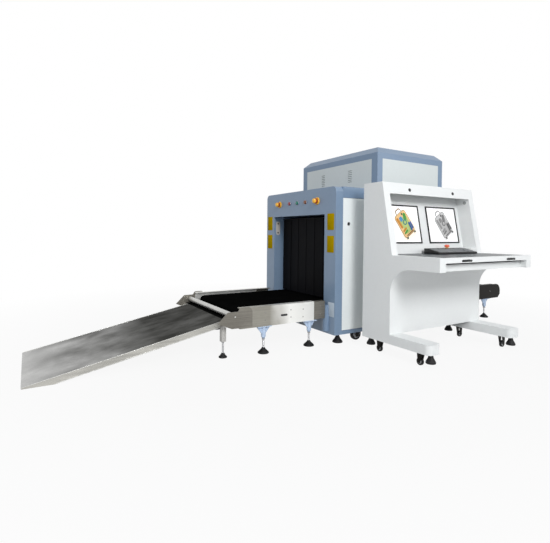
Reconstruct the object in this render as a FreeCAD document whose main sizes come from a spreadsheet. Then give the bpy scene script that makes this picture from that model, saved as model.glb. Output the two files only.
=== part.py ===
import FreeCAD, Part
import math
import os
from types import SimpleNamespace
import Sketcher

# Baggage x-ray scanner with entrance ramp and operator console, in millimetres.
# While it is drawn, X runs with the bags from the entrance portal's face (X = 0),
# Y = 0 is the middle of the tunnel with the console on the minus side, and the floor is Z = 0.
# Every finished piece is then moved so that the origin is on the floor, in the middle of the
# whole set's outline.

V = FreeCAD.Vector
doc = FreeCAD.newDocument("baggage_scanner")
sheet = doc.addObject("Spreadsheet::Sheet", "Sizes")


class Size:
    """A length, angle or ratio that carries its number and its formula on the sheet."""

    def __init__(self, text, number):
        self.text = text
        self.number = number

    def __add__(self, other):
        return combine(self, "+", other, self.number + number_of(other))

    def __radd__(self, other):
        return combine(other, "+", self, number_of(other) + self.number)

    def __sub__(self, other):
        return combine(self, "-", other, self.number - number_of(other))

    def __rsub__(self, other):
        return combine(other, "-", self, number_of(other) - self.number)

    def __mul__(self, other):
        return combine(self, "*", other, self.number * number_of(other))

    def __rmul__(self, other):
        return combine(other, "*", self, number_of(other) * self.number)

    def __truediv__(self, other):
        return combine(self, "/", other, self.number / number_of(other))

    def __neg__(self):
        return Size(f"(0 - {self.text})", -self.number)


def number_of(value):
    return value.number if isinstance(value, Size) else float(value)


def text_of(value):
    return value.text if isinstance(value, Size) else repr(float(value))


def combine(left, sign, right, number):
    return Size(f"({text_of(left)} {sign} {text_of(right)})", number)


SIZES = {
    # Machine body and tunnel
    "body_length": 1750,
    "body_bottom": 80,
    "portal_depth": 75,
    "portal_round": 40,
    "tunnel_width": 810,
    "tunnel_top": 1064,
    "wall_thickness": 125,
    "roof_depth": 222,
    "skin_thickness": 20,
    "base_height": 130,
    "sill_height": 32,
    "side_rail_depth": 90,
    "side_panel_thickness": 16,
    "panel_seam": 4,
    # Overhead generator housing
    "housing_length": 850,
    "housing_height": 375,
    "housing_chamfer": 55,
    "housing_side_border": 60,
    "housing_end_border": 70,
    "housing_panel_drop": 105,
    "housing_panel_rise": 14,
    "housing_panel_thickness": 12,
    "louvre_length": 52,
    "louvre_height": 4,
    "louvre_pitch": 17,
    "louvre_spread": 200,
    "louvre_rise": 96,
    # Conveyor
    "belt_top": 334,
    "belt_side_gap": 10,
    "belt_thickness": 4,
    "drum_radius": 38.7,
    "drum_gap": 0.3,
    "drum_shaft_radius": 12,
    "entrance_reach": 741,
    "exit_reach": 620,
    "bed_plate_thickness": 8,
    "bed_flange_depth": 42,
    "bed_bar_side": 20,
    "bed_bar_inset": 300,
    "rail_offset": 65,
    "rail_thickness": 5,
    "rail_flange": 46,
    "rail_height": 152,
    "rail_rise": 24,
    "rail_joint_length": 147,
    "rail_joint_lap": 20,
    "exit_slant": 40,
    # Ramp and what carries it
    "cheek_thickness": 6,
    "cheek_front": 241,
    "cheek_back": 32,
    "cheek_guard_front": 65,
    "cheek_guard_rise": 6,
    "cheek_shoulder_drop": 22,
    "cheek_toe_rise": 56,
    "cheek_low_rise": 10,
    "cheek_low_front": 133,
    "cheek_brow": 164,
    "cheek_guard_round": 40,
    "cheek_brow_round": 18,
    "ramp_length": 1265,
    "ramp_head": 152,
    "ramp_head_drop": 67,
    "ramp_side_gap": 66,
    "ramp_plate": 6,
    "ramp_edge_depth": 36,
    "ramp_edge_thickness": 5,
    "ramp_bar_side": 25,
    "roller_radius": 20,
    "roller_place": 107,
    "roller_drop": 34,
    "roller_pin_radius": 6,
    "pin_clearance": 0.3,
    "roller_end_gap": 6,
    "ramp_leg_side": 35,
    "ramp_leg_bottom": 117,
    "ramp_leg_inset": 68,
    # Levelling legs under the conveyor and feet under the body
    "leg_inner_reach": 180,
    "leg_outer_inset": 141,
    "exit_leg_outer_inset": 180,
    "leg_plate_length": 117,
    "leg_plate_width": 52,
    "leg_plate_thickness": 6,
    "leg_gusset_thickness": 8,
    "leg_gusset_height": 56,
    "leg_tube_radius": 18,
    "leg_tube_height": 80,
    "leg_cone_height": 14,
    "foot_radius": 43,
    "foot_rim_height": 5,
    "foot_height": 34,
    "foot_rod_radius": 8,
    "small_foot_radius": 31,
    "small_foot_height": 26,
    "body_foot_inset": 92,
    "body_foot_side_inset": 72,
    "wheel_inset": 268,
    "wheel_side_inset": 48,
    "wheel_radius": 50,
    "wheel_width": 32,
    "wheel_floor_gap": 5,
    "wheel_well_room": 9,
    "fork_cheek_thickness": 4,
    "fork_cheek_width": 36,
    "fork_plate_thickness": 5,
    "wheel_side_gap": 5,
    "axle_radius": 6,
    # Curtains
    "curtain_depth": 100,
    "curtain_side_gap": 20,
    "curtain_edge_gap": 5,
    "curtain_thickness": 4,
    "curtain_floor_gap": 8,
    "curtain_pin_radius": 5,
    "curtain_pin_drop": 22,
    "curtain_hanger_width": 24,
    "curtain_pin_gap": 0.3,
    # Controls on the portals
    "control_rise": 116,
    "stop_offset": 303,
    "stop_radius": 22,
    "stop_head_depth": 16,
    "stop_stem_radius": 9,
    "stop_collar_radius": 26,
    "stop_collar_depth": 12,
    "stop_travel_gap": 10,
    "lamp_radius": 14,
    "lamp_depth": 9,
    "lamp_spread": 128,
    "barrier_height": 136,
    "barrier_width": 44,
    "barrier_drop": 111,
    "barrier_inset": 42,
    "barrier_thickness": 3,
    "barrier_round": 20,
    "duct_radius": 34,
    "duct_bottom": 100,
    "duct_top": 315,
    "duct_inset": 30,
    # Operator console
    "console_start": 141,
    "console_width": 1080,
    "console_gap": 170,
    "console_top": 1294,
    "console_roof_depth": 192,
    "console_hood_depth": 296,
    "console_depth": 700,
    "desk_top": 750,
    "desk_box_height": 94,
    "console_side_thickness": 62,
    "console_knee_depth": 283,
    "knee_round": 182,
    "console_base": 100,
    "console_bar_top": 168,
    "console_bar_width": 125,
    "bar_nose_round": 38,
    "bar_setback": 68,
    "console_sheet": 12,
    "hood_header_height": 85,
    "desk_rail_height": 36,
    "desk_rail_thickness": 18,
    "desk_slot_length": 80,
    "desk_slot_height": 8,
    "desk_slot_spread": 525,
    "shelf_height": 33,
    "shelf_setback": 44,
    "monitor_panel_recess": 125,
    "monitor_width": 384,
    "monitor_height": 305,
    "monitor_depth": 40,
    "monitor_gap": 94,
    "monitor_rise": 81,
    "fit_gap": 0.3,
    "monitor_proud": 2,
    "keyboard_length": 530,
    "keyboard_depth": 170,
    "keyboard_height": 42,
    "keyboard_front_height": 16,
    "keyboard_ledge": 52,
    "keyboard_start": 409,
    "keyboard_reach": 101,
    "key_stop_place": 310,
    "key_stop_inset": 26,
    "key_stop_radius": 20,
    "key_stop_height": 14,
    "key_stop_stem_radius": 7,
    "key_stop_stem_depth": 9,
    "key_stop_gap": 8,
    "console_foot_radius": 34,
    "console_foot_rim": 14,
    "console_foot_neck": 13,
    "console_foot_lift": 35,
    "console_foot_front": 37,
    "console_foot_rear": 34,
    "caster_front": 113,
    "caster_rear": 138,
    "caster_radius": 27,
    "caster_width": 18,
    "caster_trail": 10,
    "caster_side_gap": 5,
    "caster_blade_thickness": 3,
    "caster_blade_width": 34,
    "caster_blade_foot": 16,
    "caster_crown_width": 48,
    "caster_crown_thickness": 4,
    "caster_bearing_radius": 19,
    "caster_bearing_height": 5,
    "caster_axle_radius": 4,
    # How far a cutting piece runs past the faces that it cuts
    "cut_margin": 2,
}
LOUVRE_ROWS = 7

# Each size is a cell of the sheet, with its name as the alias
s = SimpleNamespace()
for row, (alias, number) in enumerate(SIZES.items(), start=1):
    sheet.set(f"A{row}", str(number))
    sheet.setAlias(f"A{row}", alias)
    setattr(s, alias, Size(f"Sizes.{alias}", float(number)))


def bind(item, prop, value):
    """Tie a property to the formula of a size."""
    item.setExpression(prop, text_of(value))


def place(item, x=0, y=0, z=0):
    """Tie an item's place to sizes."""
    for letter, value in (("x", x), ("y", y), ("z", z)):
        bind(item, f"Placement.Base.{letter}", value)


def block(name, x, y, z):
    """Rectangular bar between two limits along each axis."""
    item = doc.addObject("Part::Box", name)
    bind(item, "Length", x[1] - x[0])
    bind(item, "Width", y[1] - y[0])
    bind(item, "Height", z[1] - z[0])
    place(item, x[0], y[0], z[0])
    return item


TURNS = {
    "x": FreeCAD.Rotation(V(0, 1, 0), 90),
    "y": FreeCAD.Rotation(V(1, 0, 0), -90),
    "z": FreeCAD.Rotation(),
}


def rod(name, axis, radius, length, x, y, z):
    """Round bar that starts at a point and runs along an axis."""
    item = doc.addObject("Part::Cylinder", name)
    item.Placement = FreeCAD.Placement(V(), TURNS[axis])
    bind(item, "Radius", radius)
    bind(item, "Height", length)
    place(item, x, y, z)
    return item


def taper(name, low_radius, high_radius, height, x, y, z):
    """Upright cone."""
    item = doc.addObject("Part::Cone", name)
    bind(item, "Radius1", low_radius)
    bind(item, "Radius2", high_radius)
    bind(item, "Height", height)
    place(item, x, y, z)
    return item


def fused(name, pieces):
    item = doc.addObject("Part::MultiFuse", name)
    item.Shapes = pieces
    item.Refine = True
    return item


def cut(name, base, tool):
    item = doc.addObject("Part::Cut", name)
    item.Base = base
    item.Tool = tool
    return item


def mirrored(name, source, normal, middle):
    """Copy of a piece on the other side of a plane across X or Y."""
    item = doc.addObject("Part::Mirroring", name)
    item.Source = source
    item.Normal = normal
    letter = "x" if normal.x else "y"
    bind(item, f"Base.{letter}", middle)
    return item


def corner_round(points, index, radius):
    """Tangent points, centre and turning side of a rounded corner."""
    here = points[index]
    back = (points[index - 1] - here).normalize()
    ahead = (points[(index + 1) % len(points)] - here).normalize()
    half = back.getAngle(ahead) / 2
    reach = radius / math.tan(half)
    middle = (back + ahead).normalize()
    centre = here + middle * (radius / math.sin(half))
    left_turn = back.cross(ahead).z < 0
    return here + back * reach, here + ahead * reach, centre, left_turn


def round_arc(enter, leave, centre, radius, left_turn):
    """Arc from the sketch's point of view, drawn anticlockwise."""
    first, last = (enter, leave) if left_turn else (leave, enter)
    start = math.atan2(first.y - centre.y, first.x - centre.x)
    end = math.atan2(last.y - centre.y, last.x - centre.x)
    circle = Part.Circle(centre, V(0, 0, 1), radius)
    return Part.ArcOfCircle(circle, start, end)


def pin_point(sketch, element, vertex, corner):
    sizes = (("DistanceX", corner[0]), ("DistanceY", corner[1]))
    for kind, value in sizes:
        number = number_of(value)
        made = sketch.addConstraint(Sketcher.Constraint(kind, -1, 1, element, vertex, number))
        if isinstance(value, Size):
            bind(sketch, f"Constraints[{made}]", value)


def draw(sketch, corners):
    """Closed outline through corners (u, v), each rounded where it has a third value."""
    points = [V(number_of(c[0]), number_of(c[1]), 0) for c in corners]
    count = len(corners)
    rounds = {}
    for i, corner in enumerate(corners):
        if len(corner) == 3:
            rounds[i] = corner_round(points, i, number_of(corner[2]))
    lines = []
    for i in range(count):
        following = (i + 1) % count
        start = rounds[i][1] if i in rounds else points[i]
        end = rounds[following][0] if following in rounds else points[following]
        lines.append(sketch.addGeometry(Part.LineSegment(start, end)))
    for i, corner in enumerate(corners):
        before, after = lines[i - 1], lines[i]
        if i not in rounds:
            sketch.addConstraint(Sketcher.Constraint("Coincident", before, 2, after, 1))
            pin_point(sketch, after, 1, corner)
            continue
        enter, leave, centre, left_turn = rounds[i]
        radius = number_of(corner[2])
        arc = sketch.addGeometry(round_arc(enter, leave, centre, radius, left_turn))
        mark = sketch.addGeometry(Part.Point(points[i]), True)
        first, last = (1, 2) if left_turn else (2, 1)
        sketch.addConstraint(Sketcher.Constraint("Tangent", before, 2, arc, first))
        sketch.addConstraint(Sketcher.Constraint("Tangent", arc, last, after, 1))
        sketch.addConstraint(Sketcher.Constraint("PointOnObject", mark, 1, before))
        sketch.addConstraint(Sketcher.Constraint("PointOnObject", mark, 1, after))
        pin_point(sketch, mark, 1, corner)
        made = sketch.addConstraint(Sketcher.Constraint("Radius", arc, radius))
        bind(sketch, f"Constraints[{made}]", corner[2])


def new_sketch(body, role, offset=0):
    sketch = body.newObject("Sketcher::SketchObject", f"{body.Name}_outline")
    planes = [plane for plane in body.Origin.OriginFeatures if plane.Role == role]
    sketch.AttachmentSupport = (planes[0], [""])
    sketch.MapMode = "FlatFace"
    bind(sketch, "AttachmentOffset.Base.z", offset)
    return sketch


def plate(name, role, span, *outlines):
    """Solid of one outline, with others as holes, between two limits across its plane."""
    body = doc.addObject("PartDesign::Body", name)
    low, high = span
    start = -high if role == "XZ_Plane" else low
    sketch = new_sketch(body, role, start)
    for outline in outlines:
        draw(sketch, outline)
    pad = body.newObject("PartDesign::Pad", f"{name}_pad")
    pad.Profile = sketch
    bind(pad, "Length", high - low)
    return body


def turned(name, corners, axis="z", x=0, y=0, z=0):
    """Solid turned about an axis from an outline of (radius, place along the axis)."""
    body = doc.addObject("PartDesign::Body", name)
    sketch = new_sketch(body, "XZ_Plane")
    draw(sketch, corners)
    turn = body.newObject("PartDesign::Revolution", f"{name}_turn")
    turn.Profile = sketch
    turn.ReferenceAxis = (sketch, ["V_Axis"])
    turn.Angle = 360
    body.Placement = FreeCAD.Placement(V(), TURNS[axis])
    place(body, x, y, z)
    return body


NODES = []

# The set's outline on the floor, from the ramp's toe to the exit rail's nose and from the
# machine's far side to the desk's front edge
half_tunnel = s.tunnel_width / 2
inner_half = half_tunnel + s.wall_thickness
half_width = inner_half + s.skin_thickness
rail_nose = s.rail_height / 2
ramp_head_run = s.entrance_reach + s.ramp_head
ramp_run = ramp_head_run + s.ramp_length
console_back = -(half_width + s.console_gap)
console_front = console_back - s.console_depth
outline_middle_x = (s.body_length + s.exit_reach + rail_nose - ramp_run) / 2
outline_middle_y = (half_width + console_front) / 2


def node(name, *pieces):
    """Finished piece: its label names its file, its place puts the origin on the floor."""
    item = doc.addObject("Part::Compound", f"{name}_node")
    item.Links = list(pieces)
    item.Label = name
    place(item, -outline_middle_x, -outline_middle_y, 0)
    NODES.append(item)
    return item


middle_x = s.body_length / 2
X_NORMAL = V(1, 0, 0)
Y_NORMAL = V(0, 1, 0)
SIDES = (("near", -1), ("far", 1))
ENDS = ("entrance", "exit")


def far_copy(name, source):
    return mirrored(name, source, Y_NORMAL, 0)


def exit_copy(name, source):
    return mirrored(name, source, X_NORMAL, middle_x)


tunnel_floor = s.body_bottom + s.base_height
sill_top = s.body_bottom + s.sill_height
body_top = s.tunnel_top + s.roof_depth
side_panel_top = body_top - s.side_rail_depth
housing_top = body_top + s.housing_height


# Portals: folded steel frames with rounded outer corners round the tunnel mouth
def portal():
    outer = [
        (-half_width, s.body_bottom),
        (half_width, s.body_bottom),
        (half_width, body_top, s.portal_round),
        (-half_width, body_top, s.portal_round),
    ]
    mouth = [
        (-half_tunnel, tunnel_floor),
        (half_tunnel, tunnel_floor),
        (half_tunnel, s.tunnel_top),
        (-half_tunnel, s.tunnel_top),
    ]
    return plate("portal", "YZ_Plane", (0, s.portal_depth), outer, mouth)


entrance_portal = portal()
node("entrance_portal", entrance_portal)
node("exit_portal", exit_copy("portal_copy", entrance_portal))

inner_span = (s.portal_depth, s.body_length - s.portal_depth)
wheel_height = s.wheel_radius + s.wheel_floor_gap
fork_top = wheel_height + s.wheel_radius + s.wheel_well_room + s.fork_plate_thickness


# Base frame: sill beams under the tunnel, with a well over each caster
def base_frame():
    section = [
        (-half_width, s.body_bottom),
        (half_width, s.body_bottom),
        (half_width, sill_top),
        (inner_half, sill_top),
        (inner_half, tunnel_floor),
        (-inner_half, tunnel_floor),
        (-inner_half, sill_top),
        (-half_width, sill_top),
    ]
    frame = plate("sill", "YZ_Plane", inner_span, section)
    reach = s.wheel_radius + s.wheel_well_room
    across = s.wheel_width / 2 + s.wheel_side_gap + s.fork_cheek_thickness + s.fit_gap
    wells = []
    for end, x in (("entrance", s.wheel_inset), ("exit", s.body_length - s.wheel_inset)):
        for side, sign in SIDES:
            y = (half_width - s.wheel_side_inset) * sign
            well = block(
                f"well_{end}_{side}",
                (x - reach, x + reach),
                (y - across, y + across),
                (s.body_bottom - s.cut_margin, fork_top),
            )
            wells.append(well)
    return cut("base_frame_body", frame, fused("wells", wells))


node("base_frame", base_frame())

# Shielded tunnel: two thick walls with the curtains' lugs, and a roof block
wall_height = (tunnel_floor, s.tunnel_top)
pin_height = s.tunnel_top - s.curtain_pin_drop
curtain_half = half_tunnel - s.curtain_side_gap


def curtain_lug():
    """Block on the near tunnel wall that the entrance curtain's pin ends just short of."""
    half = s.curtain_hanger_width / 2
    inside = curtain_half + s.curtain_edge_gap + s.curtain_pin_gap
    return block(
        "lug",
        (s.curtain_depth - half, s.curtain_depth + half),
        (-half_tunnel, -inside),
        (pin_height - half, s.tunnel_top),
    )


wall = block("wall", inner_span, (-inner_half, -half_tunnel), wall_height)
lug = curtain_lug()
near_wall = fused("near_wall", [wall, lug, exit_copy("lug_exit", lug)])
node("tunnel_walls", near_wall, far_copy("far_wall", near_wall))
roof_top = body_top - s.skin_thickness
roof_block = block("roof_block", inner_span, (-inner_half, inner_half), (s.tunnel_top, roof_top))
node("tunnel_roof", roof_block)

# Roof cover: a folded sheet whose sides are the blue rails above the side panels
roof_section = [
    (-half_width, side_panel_top),
    (-inner_half, side_panel_top),
    (-inner_half, roof_top),
    (inner_half, roof_top),
    (inner_half, side_panel_top),
    (half_width, side_panel_top),
    (half_width, body_top),
    (-half_width, body_top),
]
node("roof_cover", plate("roof_sheet", "YZ_Plane", inner_span, roof_section))


# Side panels: two lift-off service covers on each side, meeting at a seam in the middle
def side_panels():
    low = sill_top + s.panel_seam / 2
    high = side_panel_top - s.panel_seam / 2
    inside = half_width - s.panel_seam / 2 - s.side_panel_thickness
    across = (-inside - s.side_panel_thickness, -inner_half)
    first = block(
        "panel_near_front",
        (s.portal_depth + s.panel_seam / 2, middle_x - s.panel_seam / 2),
        across,
        (low, high),
    )
    second = exit_copy("panel_near_rear", first)
    return [first, second, far_copy("panel_far_front", first), far_copy("panel_far_rear", second)]


node("side_panels", *side_panels())

# Overhead housing: a welded frame with a chamfered top and four recessed panels
housing_low = middle_x - s.housing_length / 2
housing_high = middle_x + s.housing_length / 2


def housing_frame():
    body = doc.addObject("PartDesign::Body", "housing_shell")
    sketch = new_sketch(body, "XY_Plane", body_top)
    outline = [
        (housing_low, -half_width),
        (housing_high, -half_width),
        (housing_high, half_width),
        (housing_low, half_width),
    ]
    draw(sketch, outline)
    pad = body.newObject("PartDesign::Pad", "housing_pad")
    pad.Profile = sketch
    bind(pad, "Length", housing_top - body_top)
    doc.recompute()
    top = housing_top.number
    names = []
    for index, edge in enumerate(pad.Shape.Edges, start=1):
        if all(abs(v.Z - top) < 0.001 for v in edge.Vertexes):
            names.append(f"Edge{index}")
    chamfer = body.newObject("PartDesign::Chamfer", "housing_bevel")
    chamfer.Base = (pad, names)
    bind(chamfer, "Size", s.housing_chamfer)
    body.Tip = chamfer
    return body


panel_rise = (body_top + s.housing_panel_rise, housing_top - s.housing_panel_drop)


def housing_panel_room(name, margin):
    """Recess behind an end panel and one behind a side panel, or the panels themselves."""
    end_half = half_width - s.housing_end_border - margin
    rise = (panel_rise[0] + margin, panel_rise[1] - margin)
    end = block(
        f"{name}_end",
        (housing_low, housing_low + s.housing_panel_thickness),
        (-end_half, end_half),
        rise,
    )
    side = block(
        f"{name}_side",
        (
            housing_low + s.housing_side_border + margin,
            housing_high - s.housing_side_border - margin,
        ),
        (-half_width, -half_width + s.housing_panel_thickness),
        rise,
    )
    return end, side


def louvres(panel):
    """Two columns of pressed slits through an end panel, side by side."""
    slits = []
    for column, sign in SIDES:
        for row in range(LOUVRE_ROWS):
            y = s.louvre_spread * sign
            z = body_top + s.louvre_rise + s.louvre_pitch * row
            slit = block(
                f"slit_{column}_{row}",
                (housing_low - s.cut_margin, housing_low + s.housing_panel_thickness / 2),
                (y - s.louvre_length / 2, y + s.louvre_length / 2),
                (z, z + s.louvre_height),
            )
            slits.append(slit)
    return cut("louvred_panel", panel, fused("slits", slits))


end_room, side_room = housing_panel_room("room", 0)
rooms = [
    end_room,
    side_room,
    exit_copy("room_end_copy", end_room),
    far_copy("room_side_copy", side_room),
]
node("housing_frame", cut("housing_frame_body", housing_frame(), fused("rooms", rooms)))
end_sheet, side_sheet = housing_panel_room("sheet", s.fit_gap)
louvred = louvres(end_sheet)
node(
    "housing_panels",
    louvred,
    exit_copy("louvred_copy", louvred),
    side_sheet,
    far_copy("sheet_side_copy", side_sheet),
)

# Conveyor: one belt loop round two drums, carried by a slider bed between them
drum_inside = s.drum_radius + s.drum_gap
belt_radius = drum_inside + s.belt_thickness
drum_height = s.belt_top - belt_radius
drum_places = (-s.entrance_reach, s.body_length + s.exit_reach)


def belt_room(name, radius, half_belt):
    """Solid as wide as the belt, round at both drums."""
    middle = block(
        f"{name}_middle",
        drum_places,
        (-half_belt, half_belt),
        (drum_height - radius, drum_height + radius),
    )
    ends = [
        rod(f"{name}_{end}", "y", radius, half_belt * 2, x, -half_belt, drum_height)
        for end, x in zip(ENDS, drum_places)
    ]
    return fused(name, [middle] + ends)


belt_half = half_tunnel - s.belt_side_gap
belt_outside = belt_room("belt_outside", belt_radius, belt_half)
belt_inside = belt_room("belt_inside", drum_inside, belt_half + s.cut_margin)
belt = cut("belt", belt_outside, belt_inside)
node("conveyor_belt", belt)

rail_outer = half_tunnel + s.rail_offset
rail_inside = rail_outer - s.rail_thickness
rail_top = s.belt_top + s.rail_rise
rail_bottom = rail_top - s.rail_height


def drum(end, x):
    barrel = rod(f"drum_{end}", "y", s.drum_radius, belt_half * 2, x, -belt_half, drum_height)
    shaft = rod(
        f"shaft_{end}", "y", s.drum_shaft_radius, rail_inside * 2, x, -rail_inside, drum_height
    )
    return fused(f"turned_drum_{end}", [barrel, shaft])


node("belt_drums", *[drum(end, x) for end, x in zip(ENDS, drum_places)])


# Slider bed: a folded tray under the carrying run, on square bars between the rails or walls
def slider_bed():
    top = s.belt_top - s.belt_thickness
    plate_low = top - s.bed_plate_thickness
    inside = belt_half - s.bed_plate_thickness
    section = [
        (-belt_half, top - s.bed_flange_depth),
        (-inside, top - s.bed_flange_depth),
        (-inside, plate_low),
        (inside, plate_low),
        (inside, top - s.bed_flange_depth),
        (belt_half, top - s.bed_flange_depth),
        (belt_half, top),
        (-belt_half, top),
    ]
    room = s.drum_radius + s.bed_plate_thickness
    span = (drum_places[0] + room, drum_places[1] - room)
    tray = plate("tray", "YZ_Plane", span, section)
    bars = []
    bar_top = plate_low
    places = [
        ("entrance_outer", -(s.entrance_reach - s.leg_outer_inset), rail_inside),
        ("entrance_inner", -s.leg_inner_reach, rail_inside),
        ("tunnel_front", s.bed_bar_inset, half_tunnel),
        ("tunnel_rear", s.body_length - s.bed_bar_inset, half_tunnel),
        ("exit_inner", s.body_length + s.leg_inner_reach, rail_inside),
        ("exit_outer", s.body_length + (s.exit_reach - s.exit_leg_outer_inset), rail_inside),
    ]
    for name, x, half in places:
        bar = block(
            f"bar_{name}",
            (x - s.bed_bar_side / 2, x + s.bed_bar_side / 2),
            (-half, half),
            (bar_top - s.bed_bar_side, bar_top),
        )
        bars.append(bar)
    return fused("slider_bed_body", [tray] + bars)


node("slider_bed", slider_bed())


# Bed rails: stainless channels beside the belt at the entrance, with a set-back joint
# piece at the portal, and dark ones with a rounded nose at the exit
def rail_section(outside, low, high):
    web = outside - s.rail_thickness
    lip = outside - s.rail_flange
    return [
        (-lip, low),
        (-outside, low),
        (-outside, high),
        (-lip, high),
        (-lip, high - s.rail_thickness),
        (-web, high - s.rail_thickness),
        (-web, low + s.rail_thickness),
        (-lip, low + s.rail_thickness),
    ]


guard_front = s.entrance_reach + s.cheek_guard_front
joint_start = -s.rail_joint_length
entrance_rail = plate(
    "entrance_rail",
    "YZ_Plane",
    (-guard_front, joint_start),
    rail_section(rail_outer, rail_bottom, rail_top),
)
node("entrance_rails", entrance_rail, far_copy("entrance_rail_far", entrance_rail))

joint_low = rail_bottom + s.rail_thickness
joint_high = rail_top - s.rail_thickness
entrance_joint = plate(
    "entrance_joint",
    "YZ_Plane",
    (joint_start - s.rail_joint_lap, -s.duct_radius - s.fit_gap),
    rail_section(rail_inside, joint_low, joint_high),
)
exit_joint = exit_copy("exit_joint", entrance_joint)
node(
    "rail_joint_pieces",
    entrance_joint,
    far_copy("entrance_joint_far", entrance_joint),
    exit_joint,
    far_copy("exit_joint_far", exit_joint),
)


def exit_rail():
    nose = drum_places[1] + rail_nose
    start = s.body_length + s.rail_joint_length
    outline = [
        (start, rail_bottom),
        (nose - s.exit_slant, rail_bottom),
        (nose, rail_bottom + s.exit_slant),
        (nose, rail_top, rail_nose),
        (start, rail_top),
    ]
    web = plate("exit_web", "XZ_Plane", (-rail_outer, -rail_inside), outline)
    lips = []
    for name, low in (("low", rail_bottom), ("high", rail_top - s.rail_thickness)):
        lip = block(
            f"exit_lip_{name}",
            (start, drum_places[1] - s.drum_radius),
            (-rail_inside, -rail_outer + s.rail_flange),
            (low, low + s.rail_thickness),
        )
        lips.append(lip)
    return fused("exit_rail", [web] + lips)


exit_near = exit_rail()
node("exit_rails", exit_near, far_copy("exit_rail_far", exit_near))


roller_run = s.entrance_reach + s.roller_place
roller_height = s.belt_top - s.roller_drop


# Ramp cheeks: laser-cut stainless brackets on the rails' ends, with a round drum guard
def cheek():
    outline = [
        (-(s.entrance_reach + s.cheek_front), (rail_bottom + s.cheek_toe_rise)),
        (-(s.entrance_reach + s.cheek_low_front), (rail_bottom + s.cheek_low_rise)),
        (-(s.entrance_reach - s.cheek_back), (rail_bottom + s.cheek_low_rise)),
        (-(s.entrance_reach - s.cheek_back), (rail_top + s.cheek_guard_rise), s.cheek_guard_round),
        (-guard_front, (rail_top + s.cheek_guard_rise), s.cheek_brow_round),
        (-guard_front - s.cheek_brow_round, (rail_top - s.cheek_shoulder_drop)),
        (-(s.entrance_reach + s.cheek_brow), (rail_top - s.cheek_shoulder_drop), s.cheek_brow_round),
    ]
    side = plate(
        "cheek_plate", "XZ_Plane", (-rail_outer - s.cheek_thickness, -rail_outer), outline
    )
    hole = rod(
        "cheek_hole",
        "y",
        s.roller_pin_radius + s.pin_clearance,
        s.cheek_thickness + s.cut_margin * 2,
        -roller_run,
        -rail_outer - s.cheek_thickness - s.cut_margin,
        roller_height,
    )
    return cut("cheek", side, hole)


near_cheek = cheek()
node("ramp_cheeks", near_cheek, far_copy("cheek_far", near_cheek))

# Ramp roller: an idle tube between the cheeks, on pins that turn in their holes
roller_half = rail_outer - s.roller_end_gap
pin_half = rail_outer + s.cheek_thickness
roller_tube = rod(
    "roller_tube",
    "y",
    s.roller_radius,
    roller_half * 2,
    -roller_run,
    -roller_half,
    roller_height,
)
roller_pin = rod(
    "roller_pin",
    "y",
    s.roller_pin_radius,
    pin_half * 2,
    -roller_run,
    -pin_half,
    roller_height,
)
node("ramp_roller", fused("roller", [roller_tube, roller_pin]))

# Ramp: a stainless deck with two edge flanges that taper out at the toe
ramp_head_top = s.belt_top - s.ramp_head_drop
ramp_slope = (ramp_head_top - s.ramp_plate) / (ramp_run - ramp_head_run)
ramp_half = rail_outer - s.ramp_side_gap


def ramp_deck():
    deck = plate(
        "deck_sheet",
        "XZ_Plane",
        (-ramp_half, ramp_half),
        [
            (-ramp_run, 0),
            (-ramp_head_run, ramp_head_top - s.ramp_plate),
            (-ramp_head_run, ramp_head_top),
            (-ramp_run, s.ramp_plate),
        ],
    )
    toe_run = -ramp_run + s.ramp_edge_depth / ramp_slope
    head_x = -ramp_head_run - s.ramp_leg_side
    deck_low = ramp_head_top - s.ramp_plate - ramp_slope * s.ramp_leg_side
    edge_outline = [
        (-ramp_run, 0),
        (toe_run, 0),
        (head_x, deck_low - s.ramp_edge_depth + s.ramp_plate),
        (head_x, deck_low + s.ramp_plate / 2),
        (-ramp_run, s.ramp_plate / 2),
    ]
    near = plate(
        "edge_near",
        "XZ_Plane",
        (-ramp_half, -ramp_half + s.ramp_edge_thickness),
        edge_outline,
    )
    return fused("ramp_sheet", [deck, near, far_copy("edge_far", near)])


node("ramp_deck", ramp_deck())


# Ramp stand: a square bar between the cheeks under the deck's head, on two folded legs
def ramp_stand():
    high = ramp_head_top - s.ramp_plate - ramp_slope * s.ramp_bar_side
    x = (-ramp_head_run - s.ramp_bar_side, -ramp_head_run)
    bar = block("ramp_bar", x, (-rail_outer, rail_outer), (high - s.ramp_bar_side, high))
    leg_y = -rail_outer + s.ramp_leg_inset
    leg = block(
        "ramp_leg",
        (x[1] - s.ramp_leg_side, x[1]),
        (leg_y - s.ramp_leg_side / 2, leg_y + s.ramp_leg_side / 2),
        (s.ramp_leg_bottom, high - s.ramp_bar_side),
    )
    return fused("ramp_stand_body", [bar, leg, far_copy("ramp_leg_far", leg)])


node("ramp_stand", ramp_stand())


# Levelling feet: a threaded rod with a rubber bell
def foot_outline(radius, height, rod_top):
    return [
        (0, 0),
        (radius, 0),
        (radius, s.foot_rim_height),
        (s.foot_rod_radius, height),
        (s.foot_rod_radius, rod_top),
        (0, rod_top),
    ]


def foot(name, x, y, rod_top, radius, height):
    return turned(f"foot_{name}", foot_outline(radius, height, rod_top), "z", x, y)


rail_middle = rail_outer - s.rail_flange / 2
tube_low = rail_bottom - s.leg_tube_height
cone_low = tube_low - s.leg_cone_height
leg_places = [
    ("entrance_outer", -(s.entrance_reach - s.leg_outer_inset)),
    ("entrance_inner", -s.leg_inner_reach),
    ("exit_inner", s.body_length + s.leg_inner_reach),
    ("exit_outer", s.body_length + (s.exit_reach - s.exit_leg_outer_inset)),
]
feet = []
brackets = []


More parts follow.
